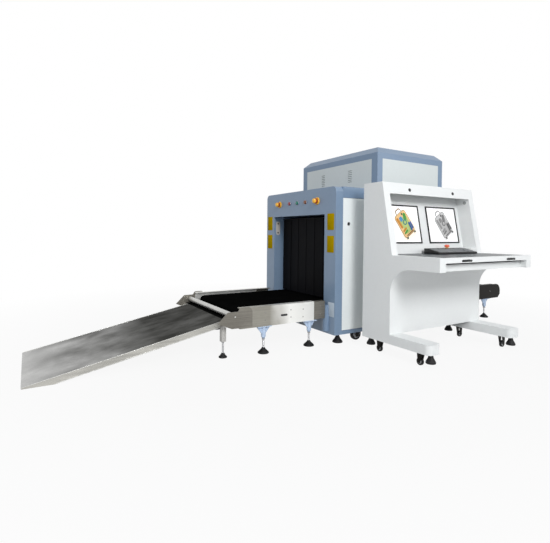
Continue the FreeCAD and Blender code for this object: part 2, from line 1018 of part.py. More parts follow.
# Leg bracket: a casting with a top plate, two crossed gussets and a tube for the rod
def leg_bracket(name, x, top):
    plate_low = top - s.leg_plate_thickness
    half_length = s.leg_plate_length / 2
    y = -rail_middle
    flange = block(
        f"flange_{name}",
        (x - half_length, x + half_length),
        (y - s.leg_plate_width / 2, y + s.leg_plate_width / 2),
        (plate_low, top),
    )
    web_outline = [
        (x - half_length, plate_low),
        (x - s.leg_tube_radius, (rail_bottom - s.leg_gusset_height)),
        (x + s.leg_tube_radius, (rail_bottom - s.leg_gusset_height)),
        (x + half_length, plate_low),
    ]
    web = plate(
        f"web_{name}",
        "XZ_Plane",
        (y - s.leg_gusset_thickness / 2, y + s.leg_gusset_thickness / 2),
        web_outline,
    )
    tube = rod(
        f"tube_{name}",
        "z",
        s.leg_tube_radius,
        plate_low - tube_low,
        x,
        y,
        tube_low,
    )
    nose = taper(
        f"nose_{name}",
        s.foot_rod_radius + s.fit_gap,
        s.leg_tube_radius,
        tube_low - cone_low,
        x,
        y,
        cone_low,
    )
    return fused(f"bracket_{name}", [flange, web, tube, nose])


for name, x in leg_places:
    near_bracket = leg_bracket(name, x, rail_bottom)
    brackets += [near_bracket, far_copy(f"bracket_{name}_far", near_bracket)]
    for side, sign in SIDES:
        rod_end = cone_low
        feet.append(
            foot(f"{name}_{side}", x, rail_middle * sign, rod_end, s.foot_radius, s.foot_height)
        )
for end, x in (("entrance", s.body_foot_inset), ("exit", s.body_length - s.body_foot_inset)):
    for side, sign in SIDES:
        name = f"body_{end}_{side}"
        y = (half_width - s.body_foot_side_inset) * sign
        feet.append(foot(name, x, y, s.body_bottom, s.foot_radius, s.foot_height))
leg_x = -ramp_head_run - s.ramp_leg_side / 2
for side, sign in SIDES:
    y = (rail_outer - s.ramp_leg_inset) * sign
    feet.append(
        foot(
            f"ramp_{side}",
            leg_x,
            y,
            s.ramp_leg_bottom,
            s.small_foot_radius,
            s.small_foot_height,
        )
    )
node("leg_brackets", *brackets)
node("levelling_feet", *feet)


# Casters under the body: a forged fork in each well and a rubber-tyred wheel on its axle
def wheel_outline(radius, width, bore):
    half = width / 2
    return [(bore, -half), (radius, -half), (radius, half), (bore, half)]


def fork(name, x, y):
    inner = s.wheel_width / 2 + s.wheel_side_gap
    outer = inner + s.fork_cheek_thickness
    low = wheel_height - s.fork_cheek_width / 2
    half = s.fork_cheek_width / 2
    top = block(
        f"fork_top_{name}",
        (x - s.wheel_radius, x + s.wheel_radius),
        (y - outer, y + outer),
        (fork_top - s.fork_plate_thickness, fork_top),
    )
    pieces = [top]
    for side, span in (("a", (y - outer, y - inner)), ("b", (y + inner, y + outer))):
        limits = (low, fork_top - s.fork_plate_thickness)
        pieces.append(block(f"fork_{side}_{name}", (x - half, x + half), span, limits))
    pieces.append(rod(f"axle_{name}", "y", s.axle_radius, outer * 2, x, y - outer, wheel_height))
    return fused(f"fork_{name}", pieces)


forks = []
for end, x in (("entrance", s.wheel_inset), ("exit", s.body_length - s.wheel_inset)):
    for side, sign in SIDES:
        name = f"{end}_{side}"
        y = (half_width - s.wheel_side_inset) * sign
        forks.append(fork(name, x, y))
        bore = s.axle_radius + s.pin_clearance
        outline = wheel_outline(s.wheel_radius, s.wheel_width, bore)
        node(f"body_wheel_{name}", turned(f"wheel_{name}", outline, "y", x, y, wheel_height))
node("body_caster_forks", *forks)


# Curtains: overlapping lead-rubber strips on a pin that hangs between two lugs
def curtain(end):
    x = s.curtain_depth
    reach = curtain_half + s.curtain_edge_gap
    sheet_body = block(
        f"strips_{end}",
        (x - s.curtain_thickness / 2, x + s.curtain_thickness / 2),
        (-curtain_half, curtain_half),
        (s.belt_top + s.curtain_floor_gap, pin_height),
    )
    pin = rod(f"curtain_pin_{end}", "y", s.curtain_pin_radius, reach * 2, x, -reach, pin_height)
    return fused(f"curtain_{end}", [sheet_body, pin])


hung = curtain("entrance")
node("entrance_curtain", hung)
node("exit_curtain", exit_copy("curtain_exit", hung))


# Emergency stops: a collar on the portal and a mushroom head that pushes in
def collar(name, y):
    outline = [
        (s.stop_stem_radius + s.pin_clearance, 0),
        (s.stop_collar_radius, 0),
        (s.stop_collar_radius, s.stop_collar_depth),
        (s.stop_stem_radius + s.pin_clearance, s.stop_collar_depth),
    ]
    return turned(f"collar_{name}", outline, "x", -s.stop_collar_depth, y, control_height)


def stop_head(name, y):
    stem_end = s.stop_collar_depth + s.stop_travel_gap
    length = stem_end + s.stop_head_depth - s.stop_travel_gap / 2
    outline = [
        (0, 0),
        (s.stop_radius, 0),
        (s.stop_radius, s.stop_head_depth),
        (s.stop_stem_radius, s.stop_head_depth),
        (s.stop_stem_radius, length),
        (0, length),
    ]
    start = -stem_end - s.stop_head_depth
    return turned(f"stop_{name}", outline, "x", start, y, control_height)


control_height = s.tunnel_top + s.control_rise
collars = []
for side, sign in SIDES:
    y = s.stop_offset * sign
    ring = collar(side, y)
    head = stop_head(side, y)
    collars += [ring, exit_copy(f"collar_exit_{side}", ring)]
    node(f"stop_button_entrance_{side}", head)
    node(f"stop_button_exit_{side}", exit_copy(f"stop_exit_{side}", head))
node("stop_button_collars", *collars)

# Signal lamps: three lenses in a row between the stops
for colour, shift in (("red", 1), ("green", 0), ("amber", -1)):
    y = s.lamp_spread * shift
    lens = rod(
        f"lens_{colour}", "x", s.lamp_radius, s.lamp_depth, -s.lamp_depth, y, control_height
    )
    node(f"{colour}_lamps", lens, exit_copy(f"lens_exit_{colour}", lens))


barrier_middle = s.tunnel_top - s.barrier_drop


# Light-barrier plates: round-ended covers on the jambs, over the belt
def barrier_plate():
    half = s.barrier_width / 2
    rise = s.barrier_height / 2
    x = s.barrier_inset
    outline = [
        (x - half, barrier_middle - rise, s.barrier_round),
        (x + half, barrier_middle - rise, s.barrier_round),
        (x + half, barrier_middle + rise, s.barrier_round),
        (x - half, barrier_middle + rise, s.barrier_round),
    ]
    span = (half_tunnel - s.barrier_thickness, half_tunnel)
    return plate("barrier", "XZ_Plane", span, outline)


far_barrier = barrier_plate()
near_barrier = far_copy("barrier_near", far_barrier)
node(
    "light_barrier_plates",
    far_barrier,
    near_barrier,
    exit_copy("barrier_exit_far", far_barrier),
    exit_copy("barrier_exit_near", near_barrier),
)

# Cable duct covers: half-round covers low on the portals, one behind each rail's end
def duct_cover():
    y = -(rail_outer - s.duct_inset)
    reach = s.duct_radius + s.cut_margin
    front_half = block(
        "duct_room",
        (-reach, 0),
        (y - reach, y + reach),
        (s.duct_bottom - s.cut_margin, s.duct_top + s.cut_margin),
    )
    tube = rod("duct_tube", "z", s.duct_radius, s.duct_top - s.duct_bottom, 0, y, s.duct_bottom)
    cover = doc.addObject("Part::Common", "duct_cover")
    cover.Base = tube
    cover.Tool = front_half
    return cover


near_duct = duct_cover()
exit_duct = exit_copy("duct_exit", near_duct)
node(
    "cable_duct_covers",
    near_duct,
    far_copy("duct_far", near_duct),
    exit_duct,
    far_copy("duct_exit_far", exit_duct),
)

# Operator console: everything behind is placed from its back, left side and floor
console_end = s.console_start + s.console_width
inner_left = s.console_start + s.console_side_thickness
inner_right = console_end - s.console_side_thickness
console_inner = (inner_left, inner_right)
console_middle = s.console_start + s.console_width / 2
desk_bottom = s.desk_top - s.desk_box_height
header_low = s.console_top - s.hood_header_height
roof_edge = console_back - s.console_roof_depth
hood_foot = console_back - s.console_hood_depth
knee = console_back - s.console_knee_depth
bar_front = console_front + s.bar_setback
hood_slope = (s.console_hood_depth - s.console_roof_depth) / (s.console_top - s.desk_top)


# Console sides: boxed panels in a C shape, on a wide foot bar with a rounded nose
def console_side():
    outline = [
        (console_back, s.console_base),
        (console_back, s.console_top),
        (roof_edge, s.console_top),
        (hood_foot, s.desk_top),
        (console_front, s.desk_top),
        (console_front, desk_bottom),
        (knee, desk_bottom, s.knee_round),
        (knee, s.console_base),
    ]
    side = plate("console_side", "YZ_Plane", (s.console_start, inner_left), outline)
    bar_end = s.console_start + s.console_bar_width
    bar_outline = [
        (s.console_start, console_back),
        (s.console_start, bar_front, s.bar_nose_round),
        (bar_end, bar_front, s.bar_nose_round),
        (bar_end, console_back),
    ]
    bar = plate("foot_bar", "XY_Plane", (s.console_base, s.console_bar_top), bar_outline)
    return fused("console_side_body", [side, bar])


left_side = console_side()
node("console_side_left", left_side)
right_side = mirrored("console_side_other", left_side, X_NORMAL, console_middle)
node("console_side_right", right_side)

# Console panels: a knee panel that bends forward under the desk, a back and a hood roof
sheet_knee = knee + s.console_sheet
underside = desk_bottom + s.console_sheet
knee_outline = [
    (knee, s.console_bar_top),
    (knee, desk_bottom, s.knee_round),
    (console_front + s.shelf_setback, desk_bottom),
    (console_front + s.shelf_setback, underside),
    (sheet_knee, underside, s.knee_round + s.console_sheet),
    (sheet_knee, s.console_bar_top),
]
node("console_knee_panel", plate("knee_panel", "YZ_Plane", console_inner, knee_outline))

back_panel = block(
    "back_panel",
    console_inner,
    (console_back - s.console_sheet, console_back),
    (s.console_bar_top, s.console_top - s.console_sheet),
)
node("console_back_panel", back_panel)


def hood_line(z):
    """Front face of the hood at a height, measured along Y."""
    return hood_foot + (z - s.desk_top) * hood_slope


hood_outline = [
    (console_back, s.console_top - s.console_sheet),
    (hood_line(s.console_top - s.console_sheet) + s.console_sheet, s.console_top - s.console_sheet),
    (hood_line(header_low) + s.console_sheet, header_low),
    (hood_line(header_low), header_low),
    (roof_edge, s.console_top),
    (console_back, s.console_top),
]
node("console_hood", plate("hood", "YZ_Plane", console_inner, hood_outline))


# Monitor panel: a sloping fascia parallel to the hood's front, with the monitors set in it
def panel_line(z):
    return hood_line(z) + s.monitor_panel_recess


panel_low = s.desk_top
panel_high = s.console_top - s.console_sheet
fascia_outline = [
    (panel_line(panel_low), panel_low),
    (panel_line(panel_high), panel_high),
    (panel_line(panel_high) + s.console_sheet, panel_high),
    (panel_line(panel_low) + s.console_sheet, panel_low),
]
fascia = plate("fascia", "YZ_Plane", console_inner, fascia_outline)


def sloped_box(name, x, z, out, back):
    """Box set square into the sloping fascia, from out in front of it to back behind it."""
    outline = [
        (panel_line(z[0]) - out, z[0]),
        (panel_line(z[0]) + back, z[0]),
        (panel_line(z[1]) + back, z[1]),
        (panel_line(z[1]) - out, z[1]),
    ]
    return plate(name, "YZ_Plane", x, outline)


monitor_rise = ((s.desk_top + s.monitor_rise), (s.desk_top + s.monitor_rise) + s.monitor_height)
monitor_spans = (
    (console_middle - s.monitor_gap / 2 - s.monitor_width, console_middle - s.monitor_gap / 2),
    (console_middle + s.monitor_gap / 2, console_middle + s.monitor_gap / 2 + s.monitor_width),
)
windows = []
monitors = []
for name, span in zip(("left", "right"), monitor_spans):
    wide = (span[0] - s.fit_gap, span[1] + s.fit_gap)
    tall = (monitor_rise[0] - s.fit_gap, monitor_rise[1] + s.fit_gap)
    through = s.console_sheet + s.cut_margin
    windows.append(sloped_box(f"window_{name}", wide, tall, s.cut_margin, through))
    monitors.append(
        sloped_box(f"monitor_{name}", span, monitor_rise, s.monitor_proud, s.monitor_depth)
    )
node("console_monitor_panel", cut("fascia_body", fascia, fused("windows", windows)))
node("monitors", *monitors)

# Desk: a dark laminate top between the sides, a front rail with two pulls, and a shelf
desk_board_low = s.desk_top - s.console_sheet
desk_board = block(
    "desk_board",
    console_inner,
    (console_front + s.desk_rail_thickness, panel_line(s.desk_top) + s.console_sheet),
    (desk_board_low, s.desk_top),
)
node("console_desktop", desk_board)


def desk_rail():
    rail = block(
        "rail_front",
        console_inner,
        (console_front, console_front + s.desk_rail_thickness),
        (s.desk_top - s.desk_rail_height, s.desk_top),
    )
    slots = []
    for side, sign in SIDES:
        x = console_middle + s.desk_slot_spread / 2 * sign
        z = s.desk_top - s.desk_rail_height / 2
        slot = block(
            f"pull_{side}",
            (x - s.desk_slot_length / 2, x + s.desk_slot_length / 2),
            (console_front - s.cut_margin, console_front + s.desk_rail_thickness / 2),
            (z - s.desk_slot_height / 2, z + s.desk_slot_height / 2),
        )
        slots.append(slot)
    return cut("desk_rail", rail, fused("pulls", slots))


node("console_desk_rail", desk_rail())
shelf = block(
    "shelf",
    console_inner,
    (console_front + s.shelf_setback, knee - s.knee_round),
    (underside, underside + s.shelf_height),
)
node("console_shelf", shelf)


# Control keyboard: a low wedge on the desk with its own stop button in a bore
key_back = hood_foot + s.keyboard_reach
key_start = s.console_start + s.keyboard_start
key_top = s.desk_top + s.keyboard_height
key_stop_x = key_start + s.key_stop_place
key_stop_y = key_back - s.key_stop_inset


def keyboard():
    front = key_back - s.keyboard_depth
    ledge = key_back - s.keyboard_ledge
    outline = [
        (front, s.desk_top),
        (key_back, s.desk_top),
        (key_back, key_top),
        (ledge, key_top),
        (front, s.desk_top + s.keyboard_front_height),
    ]
    case = plate("keyboard_case", "YZ_Plane", (key_start, key_start + s.keyboard_length), outline)
    bore = rod(
        "key_stop_bore",
        "z",
        s.key_stop_stem_radius + s.pin_clearance,
        s.keyboard_height * 2,
        key_stop_x,
        key_stop_y,
        key_top - s.key_stop_stem_depth - s.key_stop_gap,
    )
    return cut("keyboard", case, bore)


node("control_keyboard", keyboard())
key_head_top = s.key_stop_gap + s.key_stop_height
key_stop_outline = [
    (0, -s.key_stop_stem_depth),
    (s.key_stop_stem_radius, -s.key_stop_stem_depth),
    (s.key_stop_stem_radius, s.key_stop_gap),
    (s.key_stop_radius, s.key_stop_gap),
    (s.key_stop_radius, key_head_top),
    (0, key_head_top),
]
key_stop = turned("key_stop", key_stop_outline, "z", key_stop_x, key_stop_y, key_top)
node("keyboard_stop_button", key_stop)

# Console feet: rubber bells under the bars' ends, raised while the console is on its casters
bar_places = (
    ("left", s.console_start + s.console_bar_width / 2),
    ("right", console_end - s.console_bar_width / 2),
)
foot_places = (
    ("front", bar_front + s.console_foot_front),
    ("rear", console_back - s.console_foot_rear),
)
bell_height = s.console_base - s.console_foot_lift
bell_outline = [
    (0, 0),
    (s.console_foot_radius, 0),
    (s.console_foot_radius, s.console_foot_rim),
    (s.console_foot_neck, bell_height),
    (0, bell_height),
]
console_feet = []
for side, x in bar_places:
    for end, y in foot_places:
        name = f"foot_console_{side}_{end}"
        console_feet.append(turned(name, bell_outline, "z", x, y, s.console_foot_lift))
node("console_feet", *console_feet)

crown_top = s.console_base - s.fit_gap - s.caster_bearing_height
crown_low = crown_top - s.caster_crown_thickness
blade_inner = s.caster_width / 2 + s.caster_side_gap
blade_outer = blade_inner + s.caster_blade_thickness


# Swivel caster: a crown on a turning bearing, two tapered blades and the axle behind them
def caster_fork(name, x, y):
    half = s.caster_blade_width / 2
    axle_y = y + s.caster_trail
    crown = block(
        f"crown_{name}",
        (x - s.caster_crown_width / 2, x + s.caster_crown_width / 2),
        (y - half, axle_y + half),
        (crown_low, crown_top),
    )
    bearing = rod(
        f"bearing_{name}",
        "z",
        s.caster_bearing_radius,
        s.caster_bearing_height,
        x,
        y,
        crown_top,
    )
    foot_half = s.caster_blade_foot / 2
    blade_outline = [
        (axle_y - foot_half, s.caster_radius - foot_half),
        (axle_y + foot_half, s.caster_radius - foot_half),
        (axle_y + half, crown_low),
        (y - half, crown_low),
    ]
    pieces = [crown, bearing]
    for side, span in (
        ("left", (x - blade_outer, x - blade_inner)),
        ("right", (x + blade_inner, x + blade_outer)),
    ):
        pieces.append(plate(f"blade_{side}_{name}", "YZ_Plane", span, blade_outline))
    axle = rod(
        f"caster_axle_{name}",
        "x",
        s.caster_axle_radius,
        blade_outer * 2,
        x - blade_outer,
        axle_y,
        s.caster_radius,
    )
    return fused(f"swivel_fork_{name}", pieces + [axle])


caster_places = (
    ("front", bar_front + s.caster_front),
    ("rear", console_back - s.caster_rear),
)
caster_bore = s.caster_axle_radius + s.pin_clearance
caster_outline = wheel_outline(s.caster_radius, s.caster_width, caster_bore)


# The right side's casters have swivelled a quarter turn and trail along the machine
def swivelled(fork_body, x, y):
    fork_body.Placement = FreeCAD.Placement(V(), FreeCAD.Rotation(V(0, 0, 1), -90))
    place(fork_body, x - y, y + x)


for side, x in bar_places:
    for end, y in caster_places:
        name = f"{side}_{end}"
        fork_body = caster_fork(name, x, y)
        if side == "right":
            swivelled(fork_body, x, y)
            axis, axle_x, axle_y = "y", x + s.caster_trail, y
        else:
            axis, axle_x, axle_y = "x", x, y + s.caster_trail
        wheel = turned(
            f"small_wheel_{name}", caster_outline, axis, axle_x, axle_y, s.caster_radius
        )
        node(f"caster_fork_{name}", fork_body)
        node(f"caster_wheel_{name}", wheel)

doc.recompute()

# Every object has to be sound before a file is written
for item in doc.Objects:
    if "Invalid" in item.State or "Error" in item.State:
        raise RuntimeError(f"{item.Label} failed: {item.State}")
os.makedirs("parts", exist_ok=True)
for item in NODES:
    shape = item.Shape
    if shape.isNull() or not shape.isValid() or not shape.Solids:
        raise RuntimeError(f"{item.Label} has no sound solid")
    shape.exportStep(f"parts/{item.Label}.step")
print(len(NODES), "pieces")
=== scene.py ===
import math

import bmesh
import bpy
from mathutils import Matrix, Vector


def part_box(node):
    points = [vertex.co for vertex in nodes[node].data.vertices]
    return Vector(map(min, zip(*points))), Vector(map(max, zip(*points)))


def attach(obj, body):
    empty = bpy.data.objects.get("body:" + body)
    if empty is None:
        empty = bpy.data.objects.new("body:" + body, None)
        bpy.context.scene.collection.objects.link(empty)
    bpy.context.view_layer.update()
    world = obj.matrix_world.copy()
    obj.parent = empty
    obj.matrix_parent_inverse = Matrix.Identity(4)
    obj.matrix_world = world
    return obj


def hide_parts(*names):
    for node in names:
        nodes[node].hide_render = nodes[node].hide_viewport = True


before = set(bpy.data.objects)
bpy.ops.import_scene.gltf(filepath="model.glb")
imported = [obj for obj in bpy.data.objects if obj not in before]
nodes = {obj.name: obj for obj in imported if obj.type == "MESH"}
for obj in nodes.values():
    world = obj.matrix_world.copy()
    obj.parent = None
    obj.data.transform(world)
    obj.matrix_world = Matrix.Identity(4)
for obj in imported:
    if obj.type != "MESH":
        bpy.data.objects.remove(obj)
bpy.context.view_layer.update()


# Camera: a person standing off the entrance corner, looking along the tunnel's near side.
# The place, heading and lens are those of the photograph, which is 550 by 543 pixels with
# the lens's own middle a little above the picture's.
photo_width = 550
photo_height = 543
focal_pixels = 410.893
optic_x = 273.886
optic_y = 242.922
camera_place = Vector((-2.261, -2.690, 0.900))
heading = Matrix.Rotation(math.radians(-30.896), 4, "Z")
tilt = Matrix.Rotation(math.radians(90 - 1.311), 4, "X")
roll = Matrix.Rotation(math.radians(0.486), 4, "Z")
lens = bpy.data.cameras.new("camera")
lens.sensor_width = 36
lens.lens = focal_pixels / photo_width * lens.sensor_width
lens.shift_x = (photo_width / 2 - optic_x) / photo_width
lens.shift_y = (optic_y - photo_height / 2) / photo_width
camera = bpy.data.objects.new("camera", lens)
camera.matrix_world = Matrix.Translation(camera_place) @ heading @ tilt @ roll
bpy.context.scene.collection.objects.link(camera)
bpy.context.scene.camera = camera


# Studio: a pale floor that keeps a soft shadow, a white surround and three large soft lamps.
# The camera and polished metal see the surround as white, and it lights the set less.
def add(tree, kind, settings=None, **sockets):
    """New node whose inputs take plain values or other nodes' outputs."""
    made = tree.nodes.new(kind)
    for name, value in (settings or {}).items():
        setattr(made, name, value)
    for name, value in sockets.items():
        numbered = name.startswith("at") and name[2:].isdigit()
        socket = made.inputs[int(name[2:])] if numbered else made.inputs[name.replace("_", " ")]
        if isinstance(value, bpy.types.NodeSocket):
            tree.links.new(value, socket)
        else:
            socket.default_value = value
    return made


def worked(tree, operation, *values, clamped=False):
    """Result of one math node."""
    numbered = {f"at{i}": value for i, value in enumerate(values)}
    settings = {"operation": operation, "use_clamp": clamped}
    return add(tree, "ShaderNodeMath", settings, **numbered).outputs[0]


def ranged(tree, value, low, high, new_low=0.0, new_high=1.0, clamped=True):
    """A value carried from one range to another."""
    return add(tree, "ShaderNodeMapRange", {"clamp": clamped}, Value=value, From_Min=low,
               From_Max=high, To_Min=new_low, To_Max=new_high).outputs[0]


def seen_by_camera_or_gloss(tree):
    """1 where a ray comes from the camera, a mirror or glass."""
    rays = add(tree, "ShaderNodeLightPath").outputs
    first = worked(tree, "MAXIMUM", rays["Is Camera Ray"], rays["Is Glossy Ray"])
    return worked(tree, "MAXIMUM", first, rays["Is Transmission Ray"])


level_light = 0.40
overhead_light = 0.42
world = bpy.data.worlds.new("surround")
bpy.context.scene.world = world
world.use_nodes = True
sky = world.node_tree
sky.nodes.clear()
white_sky = add(sky, "ShaderNodeBackground", Color=(1, 1, 1, 1), Strength=1.0)
facing = add(sky, "ShaderNodeTexCoord").outputs["Generated"]
height = add(sky, "ShaderNodeSeparateXYZ", Vector=facing).outputs["Z"]
fading = ranged(sky, height, 0.0, 0.8, level_light, overhead_light)
dim_sky = add(sky, "ShaderNodeBackground", Color=(0.95, 0.97, 1, 1), Strength=fading)
sky_mix = add(sky, "ShaderNodeMixShader", Fac=seen_by_camera_or_gloss(sky))
sky.links.new(dim_sky.outputs[0], sky_mix.inputs[1])
sky.links.new(white_sky.outputs[0], sky_mix.inputs[2])
add(sky, "ShaderNodeOutputWorld", Surface=sky_mix.outputs[0])

floor_half = 30
floor_mesh = bpy.data.meshes.new("floor")
corners = [(-floor_half, -floor_half, 0), (floor_half, -floor_half, 0),
           (floor_half, floor_half, 0), (-floor_half, floor_half, 0)]
floor_mesh.from_pydata(corners, [], [(0, 1, 2, 3)])
floor = bpy.data.objects.new("floor", floor_mesh)
bpy.context.scene.collection.objects.link(floor)
floor_paint = bpy.data.materials.new("floor_paint")
floor_paint.use_nodes = True
tree = floor_paint.node_tree
tree.nodes.clear()
matt = add(tree, "ShaderNodeBsdfDiffuse", Color=(0.50, 0.50, 0.50, 1))
glow = add(tree, "ShaderNodeEmission", Color=(1, 1, 1, 1), Strength=1.0)
glow_near = 0.91
glow_starts, glow_full = 1.6, 4.4
spot = add(tree, "ShaderNodeTexCoord").outputs["Object"]
reach = add(tree, "ShaderNodeVectorMath", {"operation": "LENGTH"}, at0=spot)
far_off = ranged(tree, reach.outputs["Value"], glow_starts, glow_full, glow_near)
share = worked(tree, "MULTIPLY", seen_by_camera_or_gloss(tree), far_off)
floor_mix = add(tree, "ShaderNodeMixShader", Fac=share)
tree.links.new(matt.outputs[0], floor_mix.inputs[1])
tree.links.new(glow.outputs[0], floor_mix.inputs[2])
add(tree, "ShaderNodeOutputMaterial", Surface=floor_mix.outputs[0])
floor_mesh.materials.append(floor_paint)


def soft_lamp(name, place, aim, size, power):
    """Square studio softbox that points at a spot."""
    box = bpy.data.lights.new(name, "AREA")
    box.size = size
    box.energy = power
    lamp = bpy.data.objects.new(name, box)
    turn = (Vector(aim) - Vector(place)).to_track_quat("-Z", "Y")
    lamp.matrix_world = Matrix.Translation(place) @ turn.to_matrix().to_4x4()
    bpy.context.scene.collection.objects.link(lamp)


soft_lamp("key_lamp", (-1.5, -5.8, 4.0), (0.3, 0, 0.7), 2.2, 275)
soft_lamp("left_lamp", (-5.8, -2.3, 2.4), (0.3, 0, 0.7), 4.0, 76)
soft_lamp("right_lamp", (4.2, -5.4, 2.4), (0.6, -0.4, 0.6), 2.6, 50)
bpy.context.scene.view_settings.view_transform = "Standard"


# Base frame, portals and roof sheet: folded steel sheet with a satin powder coat in pale blue,
# welded to sills that stand on levelling feet. The portals' faces are a greyer blue.
def new_group(name, inputs, outputs):
    """Empty shader group with named inputs and outputs; returns it with its two ends."""
    group = bpy.data.node_groups.new(name, "ShaderNodeTree")
    kinds = {"colour": "NodeSocketColor", "value": "NodeSocketFloat", "vector": "NodeSocketVector"}
    for label, kind in inputs:
        group.interface.new_socket(label, in_out="INPUT", socket_type=kinds[kind])
    for label, kind in outputs:
        group.interface.new_socket(label, in_out="OUTPUT", socket_type=kinds[kind])
    return group, group.nodes.new("NodeGroupInput"), group.nodes.new("NodeGroupOutput")


def give(group, group_out, **results):
    """Links a group's results to its outputs."""
    for label, socket in results.items():
        group.links.new(socket, group_out.inputs[label])


def noise(tree, scale, detail=3.0, vector=None):
    """Noise on Object coordinates; scale in features per metre, or a socket."""
    if vector is None:
        vector = add(tree, "ShaderNodeTexCoord").outputs["Object"]
    made = add(tree, "ShaderNodeTexNoise", Vector=vector, Scale=scale, Detail=detail)
    return made.outputs["Fac"]


coat, coat_in, coat_out = new_group(
    "powder_coat",
    [("Colour", "colour"), ("Mottle", "value"), ("Roughness", "value"), ("Peel", "value")],
    [("Color", "colour"), ("Roughness", "value"), ("Normal", "vector")],
)
cloud = noise(coat, 2.3)
grime = noise(coat, 35.0)
tone = worked(coat, "SUBTRACT", cloud, 0.5)
fine = worked(coat, "SUBTRACT", grime, 0.5)
both = worked(coat, "ADD", tone, fine)
swing = worked(coat, "MULTIPLY_ADD", both, coat_in.outputs["Mottle"], 1.0)
shade = add(coat, "ShaderNodeHueSaturation", Color=coat_in.outputs["Colour"], Value=swing)
gloss = worked(coat, "MULTIPLY_ADD", grime, 0.12, coat_in.outputs["Roughness"])
height = worked(coat, "MULTIPLY", noise(coat, 900.0, 1.0), coat_in.outputs["Peel"])
bump = add(coat, "ShaderNodeBump", Height=height, Strength=1.0, Distance=1.0)
give(coat, coat_out, Color=shade.outputs[0], Roughness=gloss, Normal=bump.outputs[0])


def finish(name, group, coat_weight=0.0, metallic=0.0, specular=0.5, edge=1.0, **values):
    """Material whose shader takes its colour, roughness and relief from a group.

    The edge value dims the reflection at a shallow angle."""
    made = bpy.data.materials.new(name)
    made.use_nodes = True
    tree = made.node_tree
    tree.nodes.clear()
    skin = add(tree, "ShaderNodeGroup", {"node_tree": group}, **values)
    shader = add(tree, "ShaderNodeBsdfPrincipled", Base_Color=skin.outputs["Color"],
                 Roughness=skin.outputs["Roughness"], Normal=skin.outputs["Normal"],
                 Metallic=metallic, Coat_Weight=coat_weight, Specular_IOR_Level=specular,
                 Specular_Tint=(edge, edge, edge, 1))
    add(tree, "ShaderNodeOutputMaterial", Surface=shader.outputs[0])
    return made


def dress(material, *names):
    """CAD nodes that keep their shape get a material."""
    for name in names:
        node = nodes[name]
        node.data.materials.clear()
        node.data.materials.append(material)


portal_paint = finish("portal_paint", coat, coat_weight=0.25, Colour=(0.195, 0.280, 0.400, 1),
                      Mottle=0.10, Roughness=0.30, Peel=0.00004)
frame_paint = finish("frame_paint", coat, coat_weight=0.1, Colour=(0.170, 0.250, 0.365, 1),
                     Mottle=0.10, Roughness=0.30, Peel=0.00004)
dress(portal_paint, "entrance_portal", "exit_portal")
dress(frame_paint, "base_frame", "roof_cover", "tunnel_roof", "tunnel_walls", "cable_duct_covers")


# Bare plates on the portals: thin aluminium plates with a matt yellow coat, glued beside each
# mouth, two on a jamb, and a paler blue one low on the jamb. They carry no words or signs.
middle_x = 0.731
middle_y = 0.435
portal_reach = 0.875
plate_yellow = finish("plate_yellow", coat, specular=0.0, Colour=(0.42, 0.285, 0.001, 1),
                      Mottle=0.25, Roughness=0.42, Peel=0.00003)
plate_pale = finish("plate_pale", coat, Colour=(0.46, 0.54, 0.62, 1), Mottle=0.12,
                    Roughness=0.36, Peel=0.00003)


def look_along(place, outward, up=(0, 0, 1)):
    """Frame whose Z points outward and whose Y leans up, at a place."""
    z = Vector(outward).normalized()
    x = Vector(up).cross(z).normalized()
    turn = Matrix((x, z.cross(x), z)).transposed().to_4x4()
    return Matrix.Translation(place) @ turn


def rounded_plate(mesh, width, height, corner, depth, frame_at, edge=0.0004):
    """Adds a thin round-cornered plate that lies on a frame's XY plane."""
    outline = []
    for turn, (sign_x, sign_y) in enumerate(((1, 1), (-1, 1), (-1, -1), (1, -1))):
        middle = Vector((sign_x * (width / 2 - corner), sign_y * (height / 2 - corner), 0))
        for step in range(6):
            angle = math.radians(90 * turn + 18 * step)
            outline.append(middle + corner * Vector((math.cos(angle), math.sin(angle), 0)))
    count = len(outline)
    levels = [(1.0, 0.0), (1.0, depth - edge), (1.0 - edge / (width / 2), depth)]
    rings = [[mesh.verts.new(frame_at @ Vector((p.x * k, p.y * k, z))) for p in outline]
             for k, z in levels]
    for low, high in zip(rings, rings[1:]):
        for i in range(count):
            j = (i + 1) % count
            mesh.faces.new((low[i], low[j], high[j], high[i]))
    mesh.faces.new(rings[-1])
    mesh.faces.new(list(reversed(rings[0])))


def finished(name, mesh, material, body, slot, *replaced, smooth=32):
    """Object of a finished mesh, smooth up to an angle, on a body; the slot argument is not used.
    """
    if isinstance(mesh, bmesh.types.BMesh):
        bmesh.ops.recalc_face_normals(mesh, faces=mesh.faces)
        shape = bpy.data.meshes.new(name)
        mesh.to_mesh(shape)
        mesh.free()
    else:
        shape = mesh
    shape.materials.clear()
    shape.materials.append(material)
    shape.polygons.foreach_set("use_smooth", [True] * len(shape.polygons))
    shape.set_sharp_from_angle(angle=math.radians(smooth))
    piece = bpy.data.objects.new(name, shape)
    bpy.context.scene.collection.objects.link(piece)
    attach(piece, body)
    if replaced:
        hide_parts(*replaced)
    return piece


